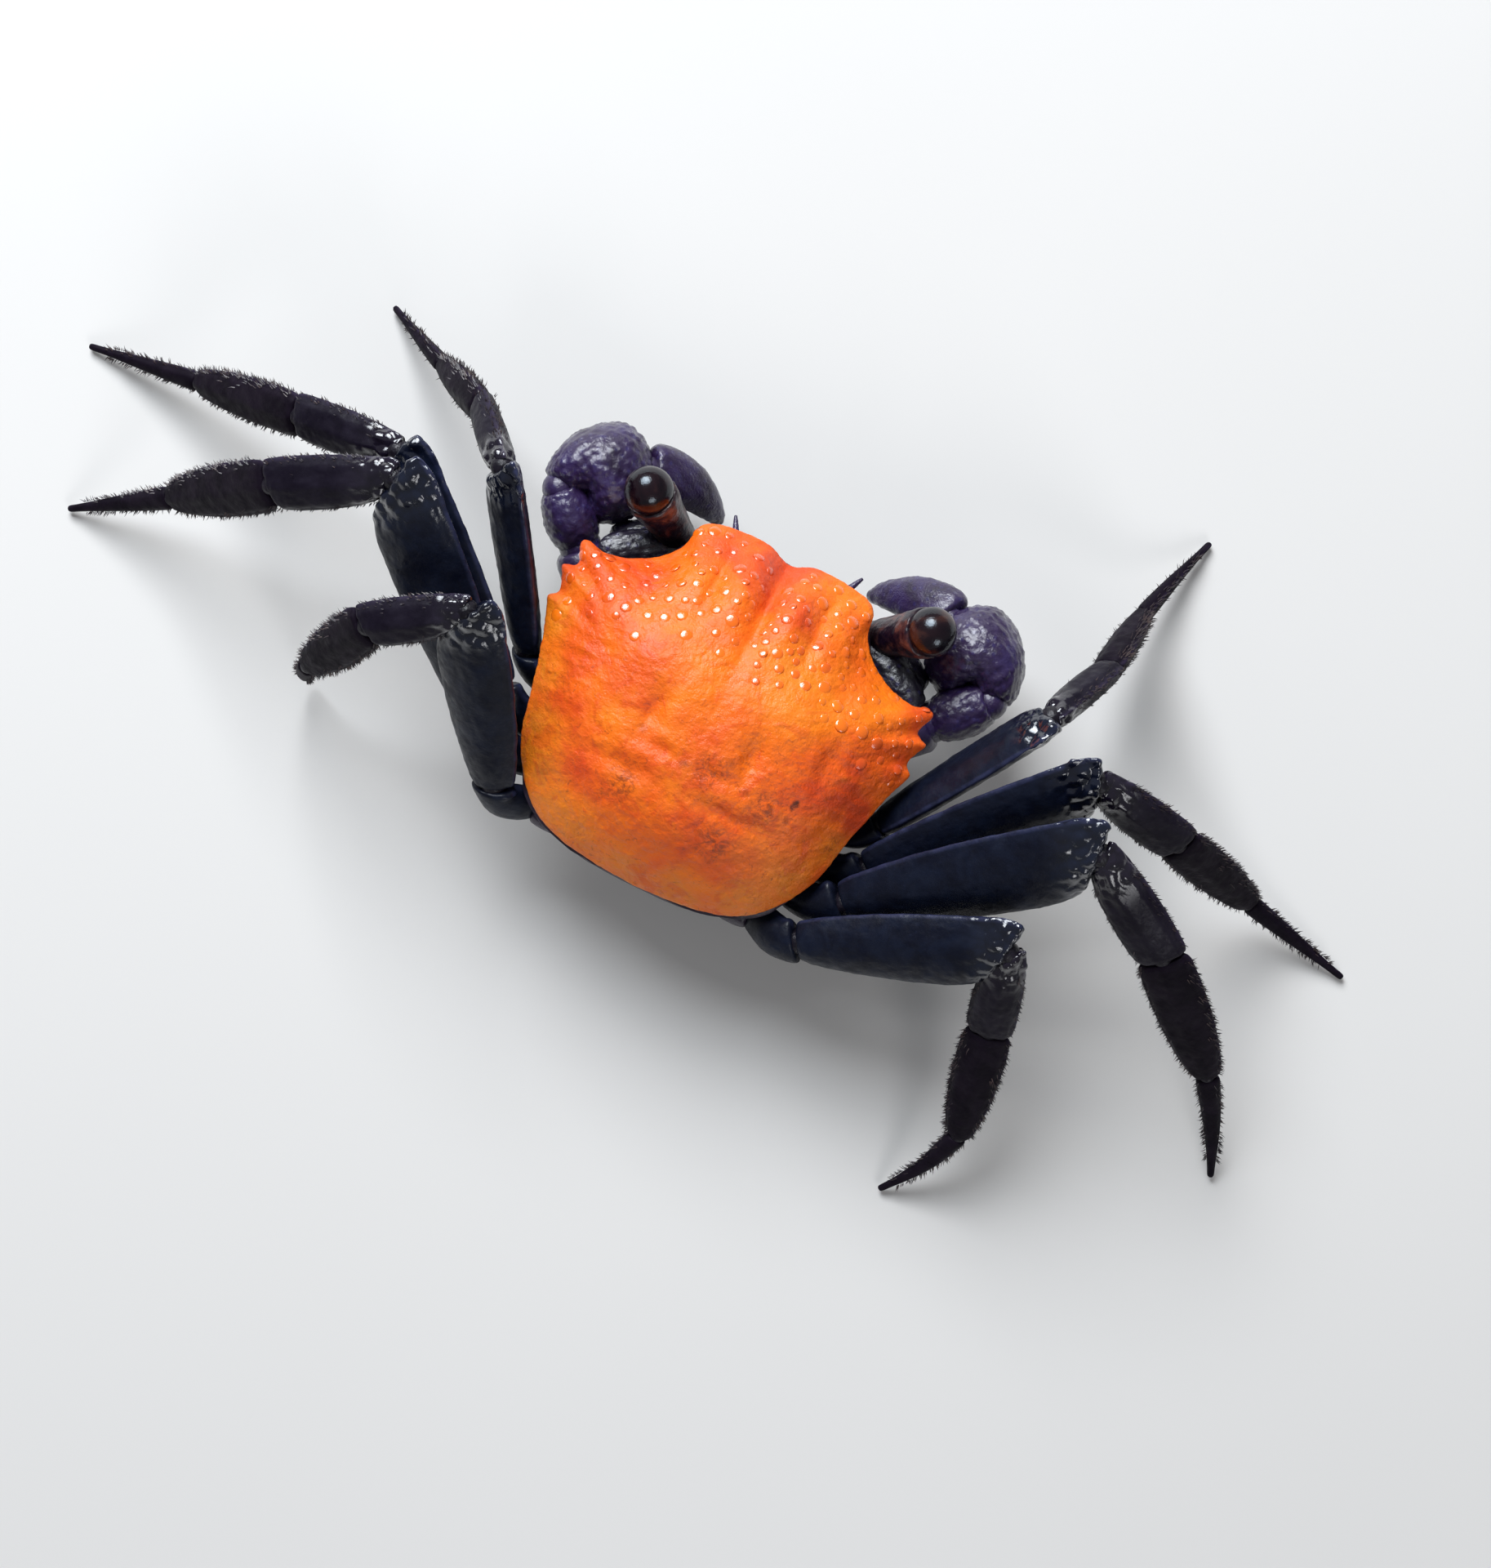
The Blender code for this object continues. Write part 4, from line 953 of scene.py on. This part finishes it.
def buildClaw(sideName, side):
    root, elbow, wrist = placed((claws["armRoot"], claws["armEnd"], claws["wristEnd"]), side)
    name = f"claw_{sideName}"
    arm = limbPiece(f"{name}_upperArm", straight(root, elbow), claws["armSizes"], 2, edge=0.25, power=2.4)
    roughen(arm, "VORONOI", 0.3, -0.07)
    keepPiece(arm, "claw", "claw", f"{name}_arm")
    knuckle = limbPiece(f"{name}_knuckle", straight(elbow, wrist), claws["wristSizes"], 3, power=2.2)
    roughen(knuckle, "VORONOI", 0.3, -0.09)
    keepPiece(knuckle, "claw", "claw", f"{name}_wrist")
    palm = placed(claws["palm"], side)
    middle = placed(claws["fingers"], side)
    hand = limbPiece(f"{name}_hand", palm, claws["palmSizes"], 3, count=20, power=2.2)
    lower = fingerLine(middle, -1)
    lower[0] -= (palm[-1] - palm[-2]).normalized() * (1.2 * mm)      # starts inside the palm
    fixed = limbPiece(f"{name}_fixedFinger", lower, claws["fingerSizes"], 2)
    whole = joinPieces(f"{name}_handAndFinger", [hand, fixed, clawTeeth(f"{name}_lowerTeeth", lower, 1, 5)])
    roughen(whole, "VORONOI", 0.34, -0.13)
    keepPiece(whole, "claw", "claw", f"{name}_palm")
    upper = fingerLine(middle, 1)
    movable = limbPiece(f"{name}_movableFinger", upper, claws["movableSizes"], 2)
    movable = joinPieces(f"{name}_movable", [movable, clawTeeth(f"{name}_upperTeeth", upper, -1, 9)])
    roughen(movable, "VORONOI", 0.3, -0.08)
    keepPiece(movable, "claw", "claw", f"{name}_finger")
    knobs = [ballAt(f"{name}_knob", point, size)
             for point, size in ((root, 0.75), (elbow, 0.95), (wrist, 0.78), (upper[0], 0.6))]
    keepPiece(joinPieces(f"{name}_membranes", knobs), "claw", "claw")


for sideName, side in sides.items():
    buildClaw(sideName, side)
print("claws made")

# Legs

legSizes = {
    "ischium": [(0.0, 0.55, 0.5), (0.04, 0.74, 0.62), (0.3, 0.98, 0.74), (0.6, 1.06, 0.76)],
    "ischiumEnd": [(0.88, 0.66, 0.74), (0.97, 0.6, 0.66), (1.0, 0.48, 0.5)],
    "merus": [(0.0, 0.42, 0.6), (0.012, 0.54, 0.8), (0.06, 0.62, 0.9), (0.18, 0.76, 1), (0.36, 0.9, 1),
        (0.56, 0.98, 1), (0.72, 1, 1), (0.81, 0.99, 1), (0.88, 0.95, 0.98), (0.94, 0.87, 0.95), (0.972, 0.78, 0.88),
        (0.99, 0.66, 0.75), (1.0, 0.42, 0.45)],
    "carpus": [(0.0, 0.45, 0.5), (0.025, 0.62, 0.76), (0.1, 0.76, 0.9), (0.28, 0.9, 0.97), (0.5, 0.98, 0.97),
        (0.72, 1, 0.92), (0.88, 0.97, 0.85), (0.97, 0.92, 0.78), (1.0, 0.74, 0.56)],
    "propodus": [(0.0, 0.68, 0.52), (0.02, 0.88, 0.74), (0.09, 0.98, 0.84), (0.3, 1, 0.84), (0.55, 0.96, 0.8),
        (0.75, 0.82, 0.74), (0.88, 0.66, 0.66), (0.96, 0.52, 0.58), (1.0, 0.34, 0.34)],
    "toeShares": (0.0, 0.02, 0.1, 0.25, 0.4, 0.55, 0.7, 0.82, 0.92, 0.98, 1.0),
}
crestTooth = {"ring": 8, "lifts": ((19, 0.1), (0, 0.26), (1, 0.1))}      # column and height in mm
wetDrops = ("VORONOI", 0.55, -0.24, "knee")


def bendHalf(first, middle, last):
    # tangent of half the bend at a joint, held to what the ends can take
    angle = (middle - first).angle(last - middle)
    return min(math.tan(angle / 2), 1.0) * 0.8


def markWet(piece, first, last, low, high):
    # vertex group and attribute that rise from low to high along the line from first to last
    span = last - first
    group = piece.vertex_groups.new(name="knee")
    amounts = []
    for corner in piece.data.vertices:
        share = (corner.co - first).dot(span) / span.length_squared
        amounts.append(smoothStep(low, high, share) * smoothStep(-0.2, 0.35, corner.normal.z))
        group.add([corner.index], amounts[-1], "REPLACE")
    piece.data.attributes.new("wet", "FLOAT", "POINT").data.foreach_set("value", amounts)


def buildMerus(name, joints, normal, half, thin, bend):
    # the long blade, and the short segment that joins it to the hip
    coxa, root, knee = joints
    line = [coxa, coxa.lerp(root, 0.5), root, root.lerp(knee, 0.07)]
    short = limbPiece(f"{name}_ischium", line, legSizes["ischium"] + scaled(legSizes["ischiumEnd"], half, 1), 2, normal,
                      edge=0.2)
    rings = limbRings(straight(root.lerp(knee, 0.08), knee), scaled(legSizes["merus"], half, thin), normal, 20,
                      edge=0.5, mitre=(0.0, bend))
    ring = rings[crestTooth["ring"]]
    for column, lift in crestTooth["lifts"]:
        ring[column] += (ring[0] - ring[10]).normalized() * lift * mm
    long = growTube(f"{name}_merusBlade", rings)
    smoothPiece(long, 3)
    whole = joinPieces(f"{name}_upperSegment", [long, short])
    markWet(whole, root, knee, 0.8, 0.93)
    roughen(whole, "VORONOI", 0.35, -0.03)
    roughen(whole, "CLOUDS", 0.8, 0.07)
    roughen(whole, *wetDrops)
    keepPiece(whole, "leg", "leg", f"{name}_merus")


def buildToe(name, joints, normal, half, thin, bend):
    # the pointed last segment, slightly arched; gives back its line
    wrist, ankle, toe = joints
    arch = (ankle - wrist).normalized()
    along = (toe - ankle).normalized()
    sideways = arch - along * arch.dot(along)
    span = (toe - ankle).length
    line = [ankle.lerp(toe, share) + sideways * (0.1 * span * math.sin(math.pi * share))
            for share in (0.0, 0.2, 0.4, 0.6, 0.8, 1.0)]
    stations = []
    for share in legSizes["toeShares"]:
        taper = 1 - 0.8 * share ** 1.3
        ends = 0.6 if share == 0.0 else 0.45 if share == 1.0 else 1.0
        stations.append((share, max(half * 0.46 * taper, 0.17) * ends, max(thin * 0.6 * taper, 0.15) * ends))
    dactyl = limbPiece(f"{name}_toeClaw", line, stations, 2, normal, count=12, flute=0.06, mitre=(bend * 0.7, 0.0))
    for corner in dactyl.data.vertices:
        corner.co.z = max(corner.co.z, 0.0)
    keepPiece(dactyl, "toe", "leg_end", f"{name}_dactyl")
    return line


def buildLeg(sideName, legName, seed):
    points, normal = legJoints(sideName, legName)
    coxa, root, knee, wrist, ankle, toe = points
    name = f"leg_{sideName}_{legName}"
    broad, middle, slim = (width / 2 for width in legs[legName]["widths"])
    thin = legShape["thick"] / 2
    kneeBend, wristBend, ankleBend = (bendHalf(*points[first:first + 3]) for first in (1, 2, 3))
    buildMerus(name, points[:3], normal, broad, thin, kneeBend)
    carpus = limbPiece(f"{name}_carpusShell", straight(knee, wrist), scaled(legSizes["carpus"], middle, thin), 3,
                       normal, edge=0.3, flute=0.07, mitre=(kneeBend, wristBend))
    markWet(carpus, wrist, knee, 0.55, 0.9)
    roughen(carpus, "VORONOI", 0.3, -0.04)
    roughen(carpus, *wetDrops)
    keepPiece(carpus, "shin", "leg", f"{name}_carpus")
    propodus = limbPiece(f"{name}_propodusShell", straight(wrist, ankle), scaled(legSizes["propodus"], slim, thin), 3,
                         normal, edge=0.3, flute=0.075, mitre=(wristBend, ankleBend))
    roughen(propodus, "CLOUDS", 0.5, 0.05)
    keepPiece(propodus, "toe", "leg_end", f"{name}_propodus")
    toeLine = buildToe(name, points[3:], normal, slim, thin, ankleBend)
    knobs = [ballAt(f"{name}_knob", point, size)
             for point, size in ((coxa, 0.5), (root.lerp(knee, 0.08), 0.58), (knee, 0.54), (wrist, 0.46),
                                 (ankle, min(0.34, slim * 0.4)))]
    keepPiece(joinPieces(f"{name}_membranes", knobs), "membrane", "leg")
    bristleLeg(name, normal, seed, (("carpus", straight(knee, wrist), middle, thin * 0.94),
                                    ("propodus", straight(wrist, ankle), slim, thin * 0.82),
                                    ("dactyl", toeLine, slim * 0.44, thin * 0.54)))


stubble = {
    "carpus": {"count": 170, "length": 0.2, "from": 0.2, "to": 0.97,
               "outline": [(0.0, 0.5), (0.1, 0.76), (0.28, 0.9), (0.5, 0.98), (0.72, 1.0), (0.97, 0.92), (1.0, 0.74)]},
    "propodus": {"count": 420, "length": 0.27, "from": 0.03, "to": 0.97,
                 "outline": [(0.0, 0.68), (0.09, 0.98), (0.3, 1.0), (0.55, 0.96), (0.75, 0.82), (0.88, 0.66),
                             (1.0, 0.4)]},
    "dactyl": {"count": 190, "length": 0.27, "from": 0.04, "to": 0.84,
               "outline": [(0.0, 1.0), (0.25, 0.88), (0.5, 0.72), (0.75, 0.54), (1.0, 0.34)]},
}
bristle = {"thick": 0.028, "droop": 0.3, "rings": ((0.0, 1.0), (0.5, 0.7)), "lowest": 0.35, "seat": 0.96}


def addBristles(name, roots, seed):
    # roots: (point, way, length in mm); each bristle is a slim three-sided spike with a bend in it
    rng = random.Random(seed)
    droopMost = bristle["droop"]
    corners = []
    faces = []
    for point, way, length in roots:
        way = way.normalized()
        side = way.orthogonal().normalized()
        other = way.cross(side)
        droop = side * rng.uniform(-droopMost, droopMost) + other * rng.uniform(-droopMost, droopMost)
        droop = droop * length * mm
        rings = [(point + way * (length * mm * share) + droop * share ** 2, bristle["thick"] * size * mm)
                 for share, size in bristle["rings"]]
        addSpike(corners, faces, rings, point + way * (length * mm) + droop, side, other, 3)
    return meshPiece(name, corners, faces)


def bristleLeg(name, normal, seed, runs):
    # runs: (segment, line, half width, half thickness), the sizes in mm
    rng = random.Random(seed)
    roots = []
    for part, line, halfWide, halfThick in runs:
        coat = stubble[part]
        for index in range(coat["count"]):
            share = rng.uniform(coat["from"], coat["to"])
            turn = rng.choice((0.0, math.pi)) + rng.gauss(0, 0.35)
            point, tangent, wide, thick = limbFrame(line, share, normal)
            taper = bristle["seat"] * float(numpy.interp(share, *zip(*coat["outline"])))
            outward = wide * math.cos(turn) + thick * math.sin(turn)
            place = point + (wide * math.cos(turn) * halfWide + thick * math.sin(turn) * halfThick) * (taper * mm)
            if place.z < bristle["lowest"] * mm:
                continue
            way = outward + tangent * rng.uniform(0.5, 1.3)
            roots.append((place, way, coat["length"] * rng.uniform(0.5, 1.2)))
    keepPiece(addBristles(f"{name}_bristles", roots, seed), "bristle", "leg_end")


for sideIndex, sideName in enumerate(sides):
    for legIndex, legName in enumerate(legs):
        buildLeg(sideName, legName, 100 + 10 * sideIndex + legIndex)
    print("legs made:", sideName)

# Floor, light and camera

stageSet = {"floor": 1.2, "floorColour": (0.72, 0.7, 0.68), "distance": 150.0, "photoPixelsPerMm": 28.6,
            "photoHeight": 1920, "sensor": 36, "overRight": 2.51, "overForward": -5.9, "planeHeight": 8.6,
            "turn": 26.5, "sky": (0.92, 0.95, 1.0), "skyStrength": 0.18, "aim": (0, 0, 0.006)}
lights = {
    "softTop": {"place": (0.2, -0.3, 0.3), "size": 0.2, "energy": 0.65, "color": (1.0, 0.985, 0.96)},
    "key": {"place": (0.13, -0.14, 0.2), "size": 0.18, "energy": 1.0, "color": (0.88, 0.94, 1.0)},
    "fill": {"place": (-0.3, 0.28, 0.3), "size": 0.2, "energy": 0.5, "color": (0.97, 0.98, 1.0)},
}


def buildStage():
    clearSelection()
    bpy.ops.mesh.primitive_plane_add(size=stageSet["floor"], location=(0, 0, 0))
    floor = bpy.context.object
    floor.name = "floor"
    finish, tree, shader, at = newFinish("floorPale", Roughness=0.75)
    tone = stageSet["floorColour"]
    worn = tuple(value * 0.95 for value in tone)
    feed(tree, shader, Base_Color=mixed(tree, noise(tree, at, 0.02, 2), tone, worn))
    floor.data.materials.append(finish)


def buildLights():
    world = bpy.data.worlds.new("studio")
    bpy.context.scene.world = world
    world.use_nodes = True
    feed(world.node_tree, world.node_tree.nodes["Background"], Color=stageSet["sky"], Strength=stageSet["skyStrength"])
    for name, light in lights.items():
        clearSelection()
        bpy.ops.object.light_add(type="AREA", location=light["place"])
        lamp = bpy.context.object
        lamp.name = name
        lamp.data.shape = "DISK"
        for key in ("size", "energy", "color"):
            setattr(lamp.data, key, light[key])
        aim = mathutils.Vector(stageSet["aim"]) - lamp.location
        lamp.rotation_euler = aim.to_track_quat("-Z", "Y").to_euler()


def buildCamera():
    # looks straight down, turned as the photo is
    clearSelection()
    height = stageSet["planeHeight"] + stageSet["distance"]
    bpy.ops.object.camera_add(location=spot((stageSet["overRight"], stageSet["overForward"], height), -1))
    camera = bpy.context.object
    turn = math.radians(stageSet["turn"])
    imageUp = mathutils.Vector((math.sin(turn), -math.cos(turn), 0))
    camera.rotation_euler = mathutils.Matrix((imageUp.cross(upward), imageUp, upward)).transposed().to_euler()
    camera.data.sensor_width = stageSet["sensor"]
    camera.data.lens = (stageSet["photoPixelsPerMm"] * stageSet["distance"] / stageSet["photoHeight"]
                        * stageSet["sensor"])
    camera.data.clip_start = 0.001
    camera.data.clip_end = 10
    bpy.context.scene.camera = camera
    bpy.context.scene.view_settings.view_transform = "Standard"


buildStage()
buildLights()
buildCamera()
print("stage made")
